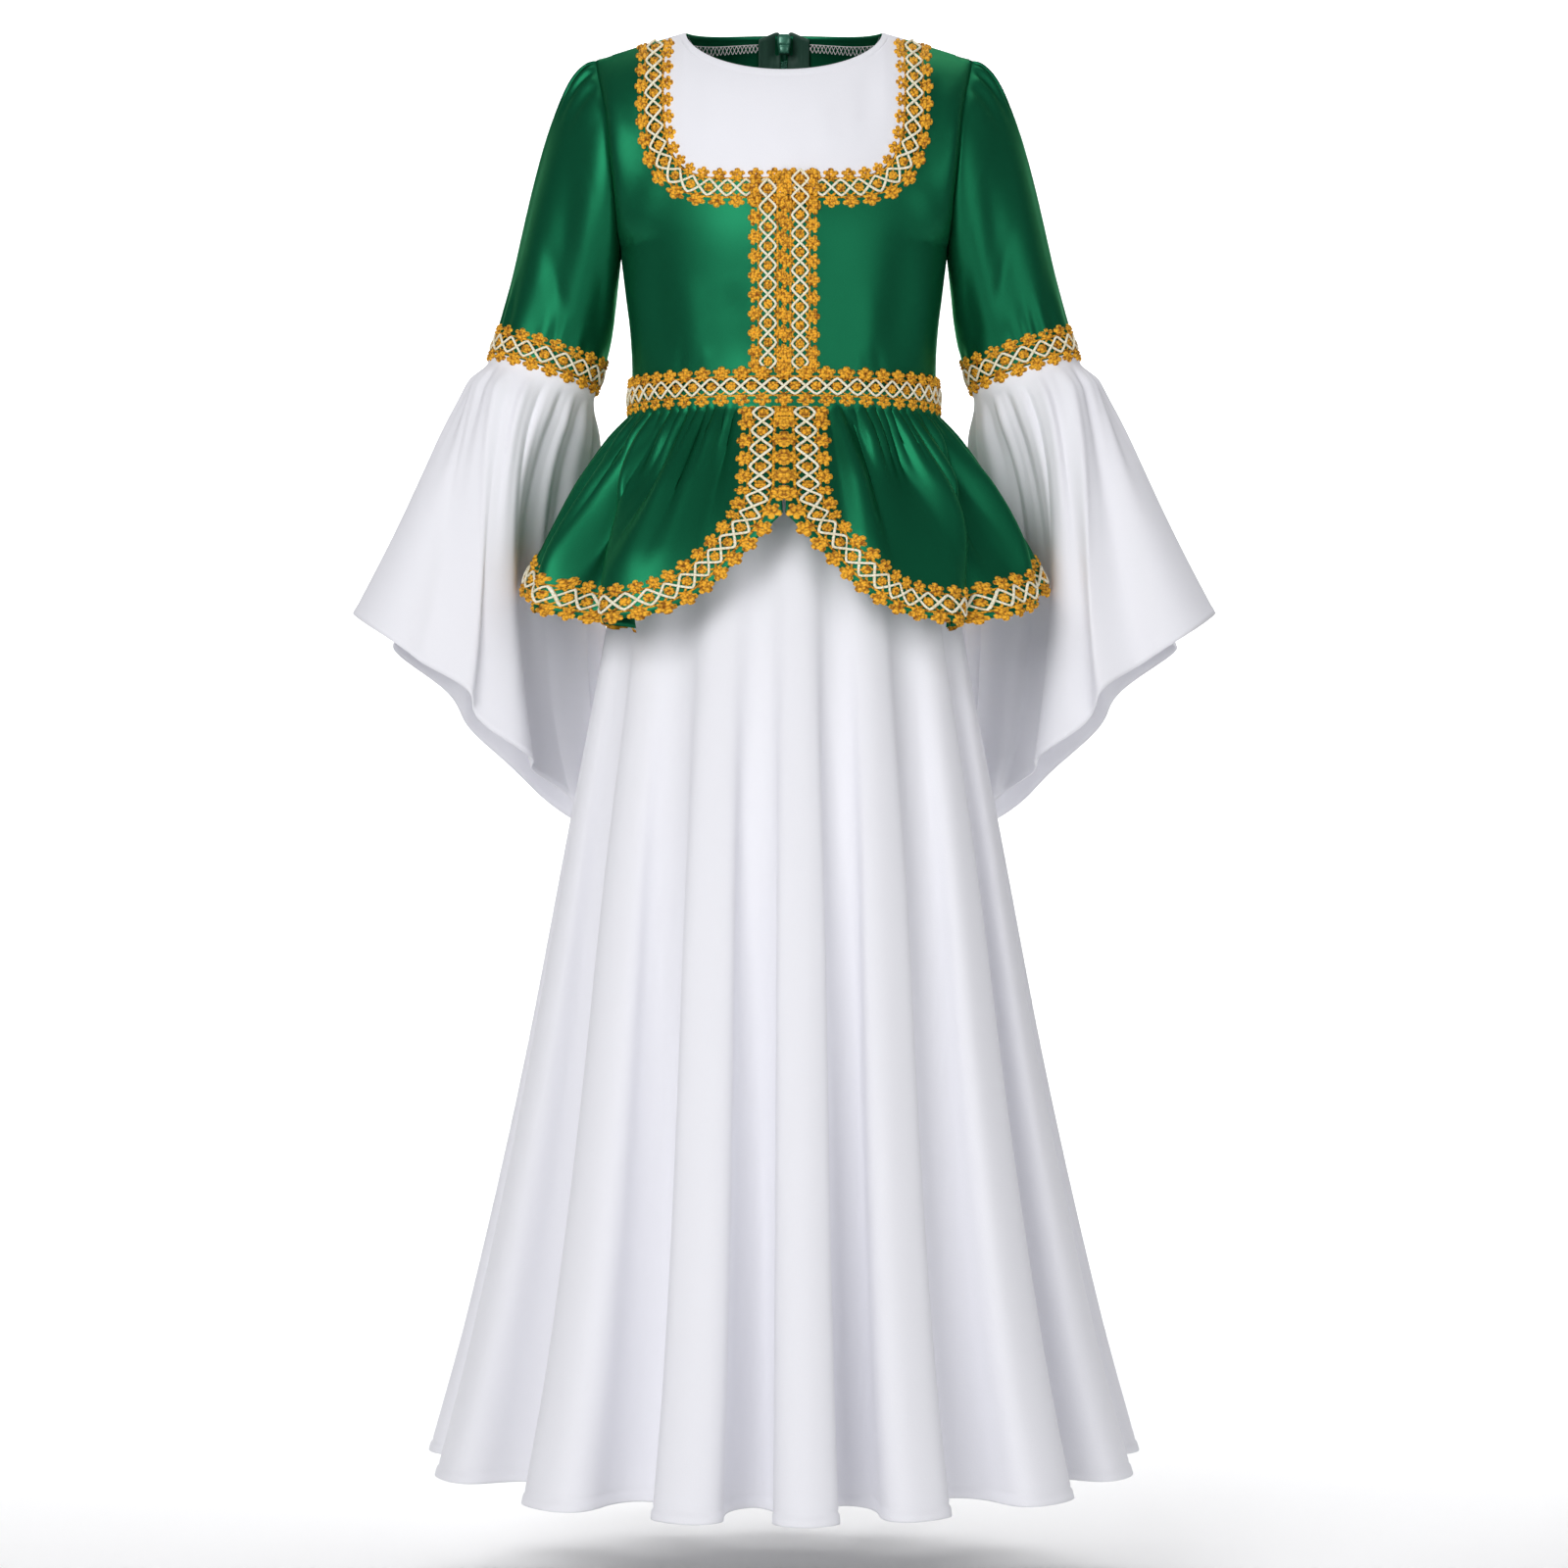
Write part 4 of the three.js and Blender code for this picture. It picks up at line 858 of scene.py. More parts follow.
# Where the peplum doubles back: place at the hem and overlap in degrees, step in mm, share of full size.
# The fold leans, so at the waist it starts further round.
DOUBLED = {1: (42.0, 3.6, 6.0, 0.85), -1: (38.0, 4.4, 7.0, 1.0)}
DOUBLED_WIDTH = 2.2
DOUBLED_LEAN = 21.0
DOUBLED_SAG = 3.0


def hem_drop(angle):
    """How far the hem lies below the waist at an angle from the front middle."""
    return read(HEM_DROP, "drop", np.degrees(np.clip(angle, 0, np.pi)))


def peplum(side, angle, down):
    """An oval that widens from the waist to the hem as one minus a power of what is left to fall. Its
    gathers are cosines round the waist whose spacing wanders, with finer ones between them that end
    sooner. Broader waves take over below them, and the broadest folds are read from a table. At one
    place the cloth doubles back: there a tanh steps it in and slides it sideways, under itself."""
    angle, down = np.broadcast_arrays(angle, down)
    inside = np.clip(angle, 0, np.pi)
    drop = hem_drop(inside) * down
    band = PEPLUM_BAND / hem_drop(inside)
    free = np.clip((down - band) / (1 - band), 0, 1)
    flare = 1 - (1 - free) ** 1.3
    turn = np.degrees(inside)
    flat = smoothstep(turn, 12, 22) * smoothstep(180 - turn, 3, 9)
    one, two, three = GATHER_PHASES[side]
    wander = 1.6 * np.sin(5 * angle + one) + 1.1 * np.sin(11 * angle + two)
    gathered = flat * smoothstep(down, 0.07, 0.22) * (1 - smoothstep(down, 0.28, 0.9))
    crest = np.cos((PEPLUM_GATHERS * angle + wander) / 2)
    swell = 9.0 * gathered * (np.sqrt(0.96 * crest * crest + 0.04) - 0.6)
    early = flat * smoothstep(down, 0.06, 0.13) * (1 - smoothstep(down, 0.2, 0.45))
    swell = swell + 1.2 * early * np.cos(79 * angle + 2.5 * np.sin(7 * angle + three))
    late = flat * smoothstep(down, 0.14, 0.45) * (1 - 0.55 * smoothstep(down, 0.7, 1.0))
    late = late * (1 - 0.6 * np.exp(-(((turn - 90) / 15) ** 2)))
    swell = swell + 7.5 * late * np.sin(17 * angle + 2.2 * np.sin(4 * angle + one) + 0.8 * down)
    leaning = DOUBLED_LEAN * (1 - down) * smoothstep(turn, 14, 40) * (1 - smoothstep(turn, 90, 130))
    swell = swell + read(PEPLUM_FOLDS, "height", turn - leaning) * smoothstep(down, 0.15, 0.8)
    place, overlap, step, share = DOUBLED[side]
    place = place + DOUBLED_LEAN * (1 - down)
    grown = smoothstep(down, 0.18, 0.75) * share
    away = (turn - place) / DOUBLED_WIDTH
    swell = swell - step * grown * np.tanh(away) * np.exp(-((away / 7) ** 2))
    shown = angle - np.radians(overlap) * grown * np.tanh(away) * np.exp(-((away / 5) ** 2))
    drop = drop + DOUBLED_SAG * grown * np.exp(-((away - 1.5) ** 2) / 4) * down
    is_front = np.cos(shown) >= 0
    half = WAIST_HALF + (PEPLUM_HALF - WAIST_HALF) * flare
    front = WAIST_FRONT + (PEPLUM_FRONT - WAIST_FRONT) * flare
    back = WAIST_BACK + (PEPLUM_BACK - WAIST_BACK) * flare
    depth = np.where(is_front, front, back)
    outward = np.stack([np.sin(shown), -np.cos(shown), 0 * angle], axis=-1)
    z = WAIST_Z - SEAM_GAP / 2 - drop
    point = np.stack([half * np.sin(shown), -depth * np.cos(shown), z], axis=-1)
    return point + outward * swell[..., None]


def off_peplum(side, angle, down, distance):
    """Points off the peplum's outside. Its second direction runs down, so its normal points in."""
    return moved_out(lambda a, b: peplum(side, a, b), angle, down, -np.asarray(distance) + 0 * angle)


PEPLUM_OUTSIDE = SEAM_GAP + 1.2

for side, word in ((1, "left"), (-1, "right")):
    angle = np.linspace(PEPLUM_START, np.pi - PEPLUM_START, 360)[None, :]
    down = np.concatenate([np.linspace(0, 0.24, 14)[:-1], np.linspace(0.24, 1, 38)])[:, None]
    angle, down = np.broadcast_arrays(angle, down)
    points = off_peplum(side, angle, down, PEPLUM_OUTSIDE) * np.array([side, 1, 1])
    name, node = f"satin_peplum_{word}", f"peplum_{word}"
    piece = make_sheet(points, name, node, centre_line(points), SATIN)
    declare(points, piece, "gathered", (0.55, 0.172))

# %% [markdown]
# Skirt
#
# The skirt is three panels of white cloth, one in front and two behind, that flare from the waist to a
# wide hem. The folds are the bell's own: they start as nothing at the waist and deepen steadily, with
# rounded crests and sharper valleys. Their spacing is uneven and drifts sideways as they fall, so they
# are counted round by a table of crests, not by equal angles. The hem is a narrow roll.

# %% The skirt's surface
HEM_Z = -1058.0
SKIRT = {
    "columns": ["z", "half", "front", "back", "valley"],
    "rows": [
        (WAIST_Z, WAIST_HALF, WAIST_FRONT, WAIST_BACK, 0), (-292, 112.2, 81, 77, 0),
        (-350, 120, 91, 89, 4), (-442, 132, 106, 106, 10),
        (-602, 163, 142, 140, 22), (-778, 198, 186, 180, 38), (-953, 239, 234, 222, 56),
        (-1058, 268, 263, 248, 70),
    ],
}
CRESTS = np.array([-180, -159, -139, -118, -96, -70, -39, -15, 3.5, 21, 46, 71, 96, 118, 140, 160, 180])
VALLEY_DEPTHS = np.array([
    1.0, 0.9, 1.05, 0.85, 1.05, 0.9, 1.05, 0.92, 1.0, 1.08, 0.9, 1.04, 0.86, 1.05, 0.95, 1.0, 1.0,
])
DEGREES_PER_FOLD = 22
SKIRT_OVERHANG = math.radians(2.1)
SKIRT_RIPPLES = [
    # folds per turn of the count, height at the hem, phase, drift down the skirt
    (2.0, 2.6, 0.7, 1.2), (3.1, 1.7, 2.3, -2.0), (0.53, 3.0, 1.1, 1.6), (5.3, 0.8, 0.2, 2.6),
]


def skirt(fold, z):
    """An oval read from the table, drawn in between the crests by the valley depth times one minus the
    ridge, a mix of the fold's squared cosine and its root, which rounds the crests and keeps the valleys
    narrow. A sine of two turns a fold moves the angle, so that the ridges' sides stand square or hang
    over. The ripples are sines of the fold count that grow towards the hem and drift as they fall."""
    fold, z = np.broadcast_arrays(fold, z)
    hem_angle = np.radians(np.interp(fold, np.arange(len(CRESTS)), CRESTS))
    twist = 0.42 * smoothstep(z, HEM_Z, WAIST_Z) * (1 - 0.55 * smoothstep(z, -442, WAIST_Z))
    angle = hem_angle + twist * np.sin(2 * hem_angle) * 0.5
    angle = angle + SKIRT_OVERHANG * smoothstep(z, -330, -700) * np.sin(4 * np.pi * fold)
    depth = np.where(np.cos(angle) >= 0, read(SKIRT, "front", z), read(SKIRT, "back", z))
    crest = np.abs(np.cos(fold * np.pi))
    uneven = np.interp(fold, np.arange(len(CRESTS)), VALLEY_DEPTHS)
    ridge = 0.35 * np.sqrt(crest * crest * 0.94 + 0.06) + 0.65 * crest * crest
    valley = read(SKIRT, "valley", z) * (1 - ridge) * uneven
    grown = smoothstep(z, -330, HEM_Z)
    whole = np.sin(fold * np.pi / (len(CRESTS) - 1)) ** 2
    for count, height, phase, drift in SKIRT_RIPPLES:
        wave = np.sin(2 * np.pi * count * fold + phase + drift * grown)
        valley = valley + height * grown * (1 + wave) / 2 * whole
    half = read(SKIRT, "half", z) - valley
    return np.stack([half * np.sin(angle), -(depth - valley) * np.cos(angle), z], axis=-1)


def fold_at(angle):
    """Fold count at an angle in degrees at the hem."""
    return float(np.interp(angle, CRESTS, np.arange(len(CRESTS))))


def skirt_points(from_angle, to_angle, columns):
    """Columns share out the folds between two seams; rows stand closer near the waist and the hem. The
    last 5 mm are the rolled hem."""
    near_hem = [0.988, 0.991, 0.9935, 0.996, 0.998, 1]
    depths = np.concatenate([np.linspace(0, 0.12, 8)[:-1], np.linspace(0.12, 0.985, 52), near_hem])
    z = (WAIST_Z - SEAM_GAP / 2 + (HEM_Z - WAIST_Z + SEAM_GAP / 2) * depths)[:, None]
    seam = np.degrees(SEAM_GAP / 2 / read(SKIRT, "half", z)) / DEGREES_PER_FOLD
    first, last = fold_at(from_angle) + seam, fold_at(to_angle) - seam
    fold = first + (last - first) * np.linspace(0, 1, columns)
    fold, z = np.broadcast_arrays(fold, z)
    hem = 0.8 * smoothstep(-z, -HEM_Z - 6.0, -HEM_Z - 5.2) - 0.5 * np.exp(-((z - HEM_Z - 6.6) ** 2) / 0.8)
    return moved_out(skirt, fold, z, hem)


SKIRT_PANELS = [
    # name, solid, from, to, columns, cut as (width at the hem, length)
    ("cloth_skirt_front", "skirt_front", -90, 90, 380, (1.07, 0.83)),
    ("cloth_skirt_back_left", "skirt_back_left", 90, 180, 190, (0.56, 0.83)),
    ("cloth_skirt_back_right", "skirt_back_right", -180, -90, 190, (0.56, 0.83)),
]
for name, node, from_angle, to_angle, columns, cut in SKIRT_PANELS:
    points = skirt_points(from_angle, to_angle, columns)
    piece = make_sheet(points, name, node, centre_line(points), WHITE)
    declare(points, piece, "hung", cut)

# %% [markdown]
# The crocheted lace
#
# Every gold edge is one long braid, repeated every 13.5 mm: two cream cords zigzag and cross down its
# middle, a gold knot sits in each diamond between them, and gold five-lobed flowers are worked on both
# sides at the crossings. It would be tedious to place hundreds of flowers by hand, so one repeat is
# made as arrays in the braid's own directions (along, across, out of the cloth), stacked as often as
# the strip is long, and then bent onto the cloth by the strip's own formula. Each flower is one small
# surface of a few dozen faces.

# %% One tube and one flower, in the braid's own directions
REPEAT = 13.5
LATTICE_HALF = 5.8
CORD_RADIUS, GOLD_ARM_RADIUS = 0.92, 0.85
FLOWER = {"centre": 9.9, "length": 6.4, "width": 4.9, "lobes": 5, "height": 1.0}
KNOT = {"centre": 0.0, "length": 3.9, "width": 3.5, "lobes": 4, "height": 0.8}
FLOWER_ROWS = {"columns": ["outward", "height"], "rows": [(0, 0.5), (0.45, 2.6), (0.82, 1.9), (1, 0.1)]}


def grid_faces(rows, columns, ring):
    """Corner numbers of a grid's faces, with its last column joined to its first in a ring."""
    span = columns if ring else columns - 1
    r, c = np.meshgrid(np.arange(rows - 1), np.arange(span), indexing="ij")
    corners = [(r, c), (r, c + 1), (r + 1, c + 1), (r + 1, c)]
    return np.stack([a * columns + b % columns for a, b in corners], axis=-1).reshape(-1, 4)


def tube(centre, radius, sides=6, flat=1.0):
    """A circle of the given radius carried along a line of (along, across, out) points. The circle stands
    square to the line in the plane of the cloth; flat squashes it towards the cloth."""
    way = np.gradient(centre, axis=0)
    way /= np.linalg.norm(way, axis=1, keepdims=True)
    beside = np.stack([-way[:, 1], way[:, 0], 0 * way[:, 0]], axis=1)
    beside /= np.linalg.norm(beside, axis=1, keepdims=True)
    above = np.cross(way, beside)
    turn = np.linspace(0, 2 * np.pi, sides, endpoint=False)[None, :, None]
    ring = np.cos(turn) * beside[:, None] + flat * np.sin(turn) * above[:, None]
    points = centre[:, None] + radius * ring
    return points.reshape(-1, 3), grid_faces(len(centre), sides, True)


def flower(size, across_sign):
    """A dome over the plane: its edge is an oval whose radius swells at each lobe as the root of the
    cosine of half the lobes' angle, and its height is a ring that sinks to a dimple in the middle and to
    a notch between the lobes. Four rows of points and four columns a lobe keep it at sixty faces."""
    around = np.linspace(0, 2 * np.pi, size["lobes"] * 4, endpoint=False)[None, :]
    outward, height = (np.array(column)[:, None] for column in zip(*FLOWER_ROWS["rows"]))
    lobe = np.abs(np.cos(size["lobes"] / 2 * around))
    radius = outward * (1 - (0.32 * (1 - np.sqrt(lobe)) * smoothstep(outward, 0.1, 0.8)))
    points = np.stack([
        size["length"] * radius * np.sin(around),
        across_sign * (size["centre"] + size["width"] * radius * np.cos(around)),
        size["height"] * height * (0.5 + 0.5 * lobe) + 0.15,
    ], axis=-1)
    faces = grid_faces(len(outward), around.shape[1], True)
    return points.reshape(-1, 3), faces if across_sign > 0 else faces[:, ::-1]


print("faces in one flower:", len(flower(FLOWER, 1)[1]))

# %% A whole braid, laid flat
CORNER_SHARPNESS = 0.97


def stacked(points, faces, starts):
    """Copies of one small mesh, one for each start along the braid."""
    starts = np.asarray(starts, float)
    copies = points[None] + np.stack([starts, 0 * starts, 0 * starts], axis=1)[:, None]
    numbers = faces[None] + (np.arange(len(starts)) * len(points))[:, None, None]
    return copies.reshape(-1, 3), numbers.reshape(-1, 4)


def zigzag(wave, sharpness=CORNER_SHARPNESS):
    """A sine or cosine turned into a zigzag between minus one and one with soft corners: its arcsine."""
    return np.arcsin(sharpness * wave) / np.arcsin(sharpness)


def braid(length, repeats, is_ring):
    """All of a strip's yarn as (points, faces, finish). The cream cords are zigzags that cross at each
    repeat and pass over and under in turn. Thinner gold arms cross half a repeat further on, flowers
    stand at the cords' crossings and knots at the arms' crossings."""
    step = length / repeats
    at = np.linspace(0, length, repeats * 8 + 1)
    over = 0.55 * np.cos(np.pi * at / step)
    corner = LATTICE_HALF * zigzag(np.sin(np.pi * at / step))
    shifted = LATTICE_HALF * zigzag(np.cos(np.pi * at / step))
    parts = []
    for sign in (1, -1):
        line = np.stack([at, sign * corner, 1.7 + sign * over], axis=1)
        parts.append((*tube(line, CORD_RADIUS), 1))
        arm = np.stack([at, sign * shifted, 0.75 + 0 * at], axis=1)
        parts.append((*tube(arm, GOLD_ARM_RADIUS, 4), 0))
        height = 0.9 + 0.2 * np.cos(2 * np.pi * at / step)
        edge = np.stack([at, sign * (LATTICE_HALF + 1.0) + 0 * at, height], axis=1)
        parts.append((*tube(edge[::2], 0.8, 4), 0))
    crossings = np.arange(repeats if is_ring else repeats + 1) * step
    if not is_ring:
        end = FLOWER["length"] * 0.75
        crossings = np.clip(crossings, end, length - end)
    for sign in (1, -1):
        parts.append((*stacked(*flower(FLOWER, sign), crossings), 0))
    parts.append((*stacked(*flower(KNOT, 1), (np.arange(repeats) + 0.5) * step), 0))
    return parts


def is_mirrored(place):
    """True where the strip's formula turns the braid's own directions into their mirror image: the
    triple product of the three ways out of one point is then negative."""
    spot = np.array([[0.4, 0, 0], [0.401, 0, 0], [0.4, 1, 0], [0.4, 0, 1]], float)
    home, *ends = place(*spot.T)
    one, two, three = (end - home for end in ends)
    return np.dot(np.cross(one, two), three) < 0


def joined(parts):
    """Points and faces of several small meshes as one, with each part's corner numbers moved up by the
    number of points before it."""
    starts = np.cumsum([0] + [len(points) for points, _ in parts])
    faces = np.concatenate([faces + start for (_, faces), start in zip(parts, starts)])
    return np.concatenate([points for points, _ in parts]), faces


def make_lace(name, node, length, place, is_ring=False):
    """Bends a flat braid onto the cloth: place(along, across, out) gives the point on the costume. A
    ring has an even number of repeats, so that its cords meet themselves."""
    repeats = 2 * max(1, round(length / REPEAT / 2)) if is_ring else max(2, round(length / REPEAT))
    parts = braid(length, repeats, is_ring)
    flat, faces = joined([(points, faces) for points, faces, _ in parts])
    finish = np.concatenate([np.full(len(faces), which) for _, faces, which in parts])
    placed = place(flat[:, 0] / length, flat[:, 1], flat[:, 2])
    if is_mirrored(place):
        faces = faces[:, ::-1]
    mesh = bpy.data.meshes.new(name)
    mesh.from_pydata((placed * MM).tolist(), [], faces.tolist())
    layer = mesh.uv_layers.new(name="cloth_map")
    layer.data.foreach_set("uv", (flat[faces.ravel(), :2] * MM).astype(np.float32).ravel())
    mesh.polygons.foreach_set("use_smooth", np.ones(len(faces), bool))
    mesh.polygons.foreach_set("material_index", finish.astype(np.int32))
    lace = bpy.data.objects.new(name, mesh)
    bpy.context.scene.collection.objects.link(lace)
    lace.data.materials.append(GOLD)
    lace.data.materials.append(CREAM)
    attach(lace, "root")
    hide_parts(node)
    print(f"{name}: {repeats} repeats, {len(faces)} faces")
    return lace


# %% Lace round the deep neckline and down both front edges
LACE_HALF = 14.0
LACE_REST = 0.35


def on_neckline(along_share, across, out):
    """The strip follows the deep neckline, out to the right and left of its middle; across points away
    from the neck, square to the line."""
    t = 2 * along_share - 1
    share = np.clip(np.abs(t), 0.002, 0.985)
    spot = on_line(LACE_LINE, np.abs(t))
    way = on_line(LACE_LINE, share + 0.004) - on_line(LACE_LINE, share - 0.004)
    way /= np.linalg.norm(way, axis=-1, keepdims=True)
    x = spot[..., 0] + way[..., 1] * across
    z = np.minimum(spot[..., 1] - way[..., 0] * across, shoulder_top(True, x) - SHOULDER_SEAM - 0.5)
    points = moved_out(front_trunk, trunk_angle(x, z), z, out + LACE_REST)
    points[..., 0] *= np.where(t < 0, -1, 1)
    return points


TRIMMINGS = {"cloth_yoke": ["lace_deep_neckline"]}
make_lace("lace_deep_neckline", "lace_neckline", 2 * LACE_LINE_LENGTH, on_neckline)

FRONT_LACE_TOP, FRONT_LACE_BOTTOM, FRONT_LACE_CENTRE = -118.0, WAIST_Z + LACE_HALF - 3, 11.4
FRONT_LACE_STEP = {"left": 0.0, "right": REPEAT / 2}
FRONT_LACE_OVER = 2.3

for side, word in ((1, "left"), (-1, "right")):
    length = FRONT_LACE_TOP - FRONT_LACE_BOTTOM - FRONT_LACE_STEP[word]

    def on_front(along_share, across, out, side=side, length=length):
        """Straight down beside the front middle, lifted over the neckline's lace at its top."""
        z = FRONT_LACE_BOTTOM + length * (1 - along_share)
        angle = trunk_angle(FRONT_LACE_CENTRE + across, z)
        over = FRONT_LACE_OVER * smoothstep(z, -152, -143)
        points = moved_out(front_trunk, angle, z, out + LACE_REST + over)
        return points * np.array([side, 1, 1])

    make_lace(f"lace_down_front_{word}", f"lace_front_{word}", length, on_front)
    TRIMMINGS[f"satin_front_{word}"] = [f"lace_down_front_{word}"]

# %% Lace round the waist


def on_waist(along_share, across, out):
    """Round the waist from the zip to the zip: the upper half lies on the bodice and the lower half hangs
    straight over the peplum's band."""
    angle = -np.pi + PEPLUM_START + 2 * (np.pi - PEPLUM_START) * along_share
    z = WAIST_Z + np.maximum(across, 0)
    reach = out + LACE_REST + PEPLUM_OUTSIDE - 0.2
    is_front = (np.cos(angle) >= 0)[..., None]
    in_front, behind = (moved_out(both_trunk(part), angle, z, reach) for part in (True, False))
    points = np.where(is_front, in_front, behind)
    points[..., 2] = WAIST_Z + across
    return points


def both_trunk(is_front):
    """The trunk for one half, with angles counted round the whole body."""
    return lambda angle, z: trunk(is_front, angle, z)


waist_row = on_waist(np.linspace(0, 1, 400), np.zeros(400), np.zeros(400))
WAIST_LENGTH = float(np.linalg.norm(np.diff(waist_row, axis=0), axis=1).sum())
make_lace("lace_round_waist", "lace_waist", WAIST_LENGTH, on_waist)
TRIMMINGS["satin_back_left"] = ["lace_round_waist"]

# %% Lace on the sleeves' lower edges
for side, word in ((1, "left"), (-1, "right")):

    def on_cuff(along_share, across, out, side=side):
        """Round the elbow over the gathered cuff."""
        around = along_share * 2 * np.pi
        points = elbow_ring(around, out + LACE_REST + 0.6) + ARM_DOWN * across[..., None]
        return points * np.array([side, 1, 1])

    length = np.pi * (ELBOW_HALF_WIDTH + ELBOW_HALF_DEPTH)
    make_lace(f"lace_cuff_{word}", f"lace_sleeve_{word}", length, on_cuff, True)
    TRIMMINGS[f"cloth_flounce_{word}"] = [f"lace_cuff_{word}"]

# %% Lace down the peplum's front edges and along its hem


PEPLUM_MEAN_DROP = 160


def roundness(drop):
    """Radius of the peplum at a drop below the waist, to turn angles into lengths on its pattern."""
    hem_radius = (PEPLUM_FRONT + PEPLUM_HALF) / 2
    return WAIST_FRONT + (hem_radius - WAIST_FRONT) * drop / PEPLUM_MEAN_DROP


def peplum_edge():
    """The peplum's edge on its flat pattern, (length round, drop): down the front, round the cutaway
    corner and along the hem, smoothed over a short window and spaced evenly."""
    down_front = np.stack([np.zeros(24), np.linspace(LACE_HALF + SEAM_GAP, 82, 24)], axis=1)
    turn = np.radians(np.linspace(3, 180, 178))
    drop = hem_drop(turn)
    points = np.concatenate([down_front, np.stack([turn * roundness(drop), drop], axis=1)])
    line, length = evenly_spaced(points, 500)
    weights = np.hanning(21) / np.hanning(21).sum()
    padded = np.concatenate([2 * line[0] - line[10:0:-1], line, 2 * line[-1] - line[-2:-12:-1]])
    return np.stack([np.convolve(padded[:, k], weights, "valid") for k in (0, 1)], axis=1), length


PEPLUM_EDGE, PEPLUM_EDGE_LENGTH = peplum_edge()
PEPLUM_LACE_INSET = 11.4

for side, word in ((1, "left"), (-1, "right")):

    def on_peplum(along_share, across, out, side=side):
        """Just inside the peplum's edge, square to it, on the folds of the cloth; the outer flowers reach
        past the edge."""
        share = np.clip(along_share, 0, 1)
        nearby = 3 / (len(PEPLUM_EDGE) - 1)
        spot = on_line(PEPLUM_EDGE, share)
        way = on_line(PEPLUM_EDGE, share + nearby) - on_line(PEPLUM_EDGE, share - nearby)
        way /= np.linalg.norm(way, axis=-1, keepdims=True)
        inward = PEPLUM_LACE_INSET + across
        drop = spot[..., 1] - way[..., 0] * inward
        turned = spot[..., 0] / roundness(spot[..., 1]) + way[..., 1] * inward / roundness(drop)
        down = np.maximum(drop, 0) / hem_drop(turned)
        points = off_peplum(side, turned, down, PEPLUM_OUTSIDE + out + LACE_REST)
        return points * np.array([side, 1, 1])

    make_lace(f"lace_round_peplum_{word}", f"lace_peplum_{word}", PEPLUM_EDGE_LENGTH, on_peplum)
    TRIMMINGS[f"satin_peplum_{word}"] = [f"lace_round_peplum_{word}"]

# %% [markdown]
# The zip at the back
#
# A nylon zip closes the back from the neck to below the waist, and its head is seen from the front,
# through the neck. Two woven tapes carry one long coil each, wound like springs and locked together.
# A coil is a circle carried along a helix, so it is one tube whose path is a formula; modelling single
# teeth would cost far more faces and look no different. The slider's wedge is worked out again with
# rounder edges. Its bridge and its pull keep their solid shape, because the pull has to swing on its
# own body.

# %% Tapes with folded tops
TAPE_WIDTH, TAPE_THICKNESS, COIL_HALF, ZIP_DEPTH = 17.0, 0.7, 2.4, 2.4


def zip_point(x, z, inside):
    """A place on the zip: so far inside the back's surface above the waist, and inside the skirt's middle
    crest below it, where it bends with the fold."""
    depth = ZIP_DEPTH + inside
    above = np.maximum(z, WAIST_Z)
    high = moved_out(back_trunk, np.pi - trunk_angle(x, above), above, -depth)
    low_y = skirt(0.0 * z, np.minimum(z, WAIST_Z))[..., 1] - depth
    low_y = low_y - np.abs(x) * 0.2 * smoothstep(-z, -WAIST_Z, -ZIP_END_Z)
    low = np.stack(np.broadcast_arrays(x, low_y, z), axis=-1)
    return np.where((z >= WAIST_Z)[..., None], high, low)


def tape_points(side):
    """Columns cross the tape and rows run down it. At the top the inner corner is folded over, so the
    edge slants down to the slider."""
    across = np.linspace(0, 1, 12)[None, :]
    down = np.linspace(0, 1, 150)[:, None]
    x = COIL_HALF + SEAM_GAP + TAPE_WIDTH * across
    top = ZIP_TOP_Z + 1.5 - 5.0 * across ** 1.5 - 2.0 * (1 - smoothstep(across, 0, 0.12))
    z = top + (ZIP_END_Z - top) * down
    weave = 0.25 * np.cos(2 * np.pi * across * 3) + 0.25 * smoothstep(across, 0.86, 0.9)
    behind = 2.6 * smoothstep(z, -8, -1) * (1 - smoothstep(across, 0.2, 0.6))
    return zip_point(x, z, 0.6 * across + weave - behind) * np.array([side, 1, 1])


for side, word in ((1, "left"), (-1, "right")):
    points = tape_points(side)
    name, node, inner = f"woven_tape_{word}", f"zip_tape_{word}", points - np.array([0, 1, 0])
    tape = make_sheet(points, name, node, inner, TAPE, thickness=TAPE_THICKNESS)
    declare(points, tape, "hung", (0.017, 0.37))

# %% The two locked coils
COIL_PITCH, COIL_RADIUS, WIRE = 1.9, 1.15, 0.42
COIL_TOP_Z = -5.0


def coil_line(side):
    """A helix down the zip: across and out are the cosine and sine of the turn, one turn each pitch, and
    the two coils are half a turn apart so that each fills the other's gaps."""
    turns = (COIL_TOP_Z - ZIP_END_Z) / COIL_PITCH
    turn = np.linspace(0, 2 * np.pi * turns, int(turns * 8))
    z = COIL_TOP_Z - turn / (2 * np.pi) * COIL_PITCH - (side < 0) * COIL_PITCH / 2
    x = side * (0.95 + 1.25 * np.cos(turn))
    return zip_point(x, z, 0.95 + COIL_RADIUS * 0.7 * np.sin(turn))


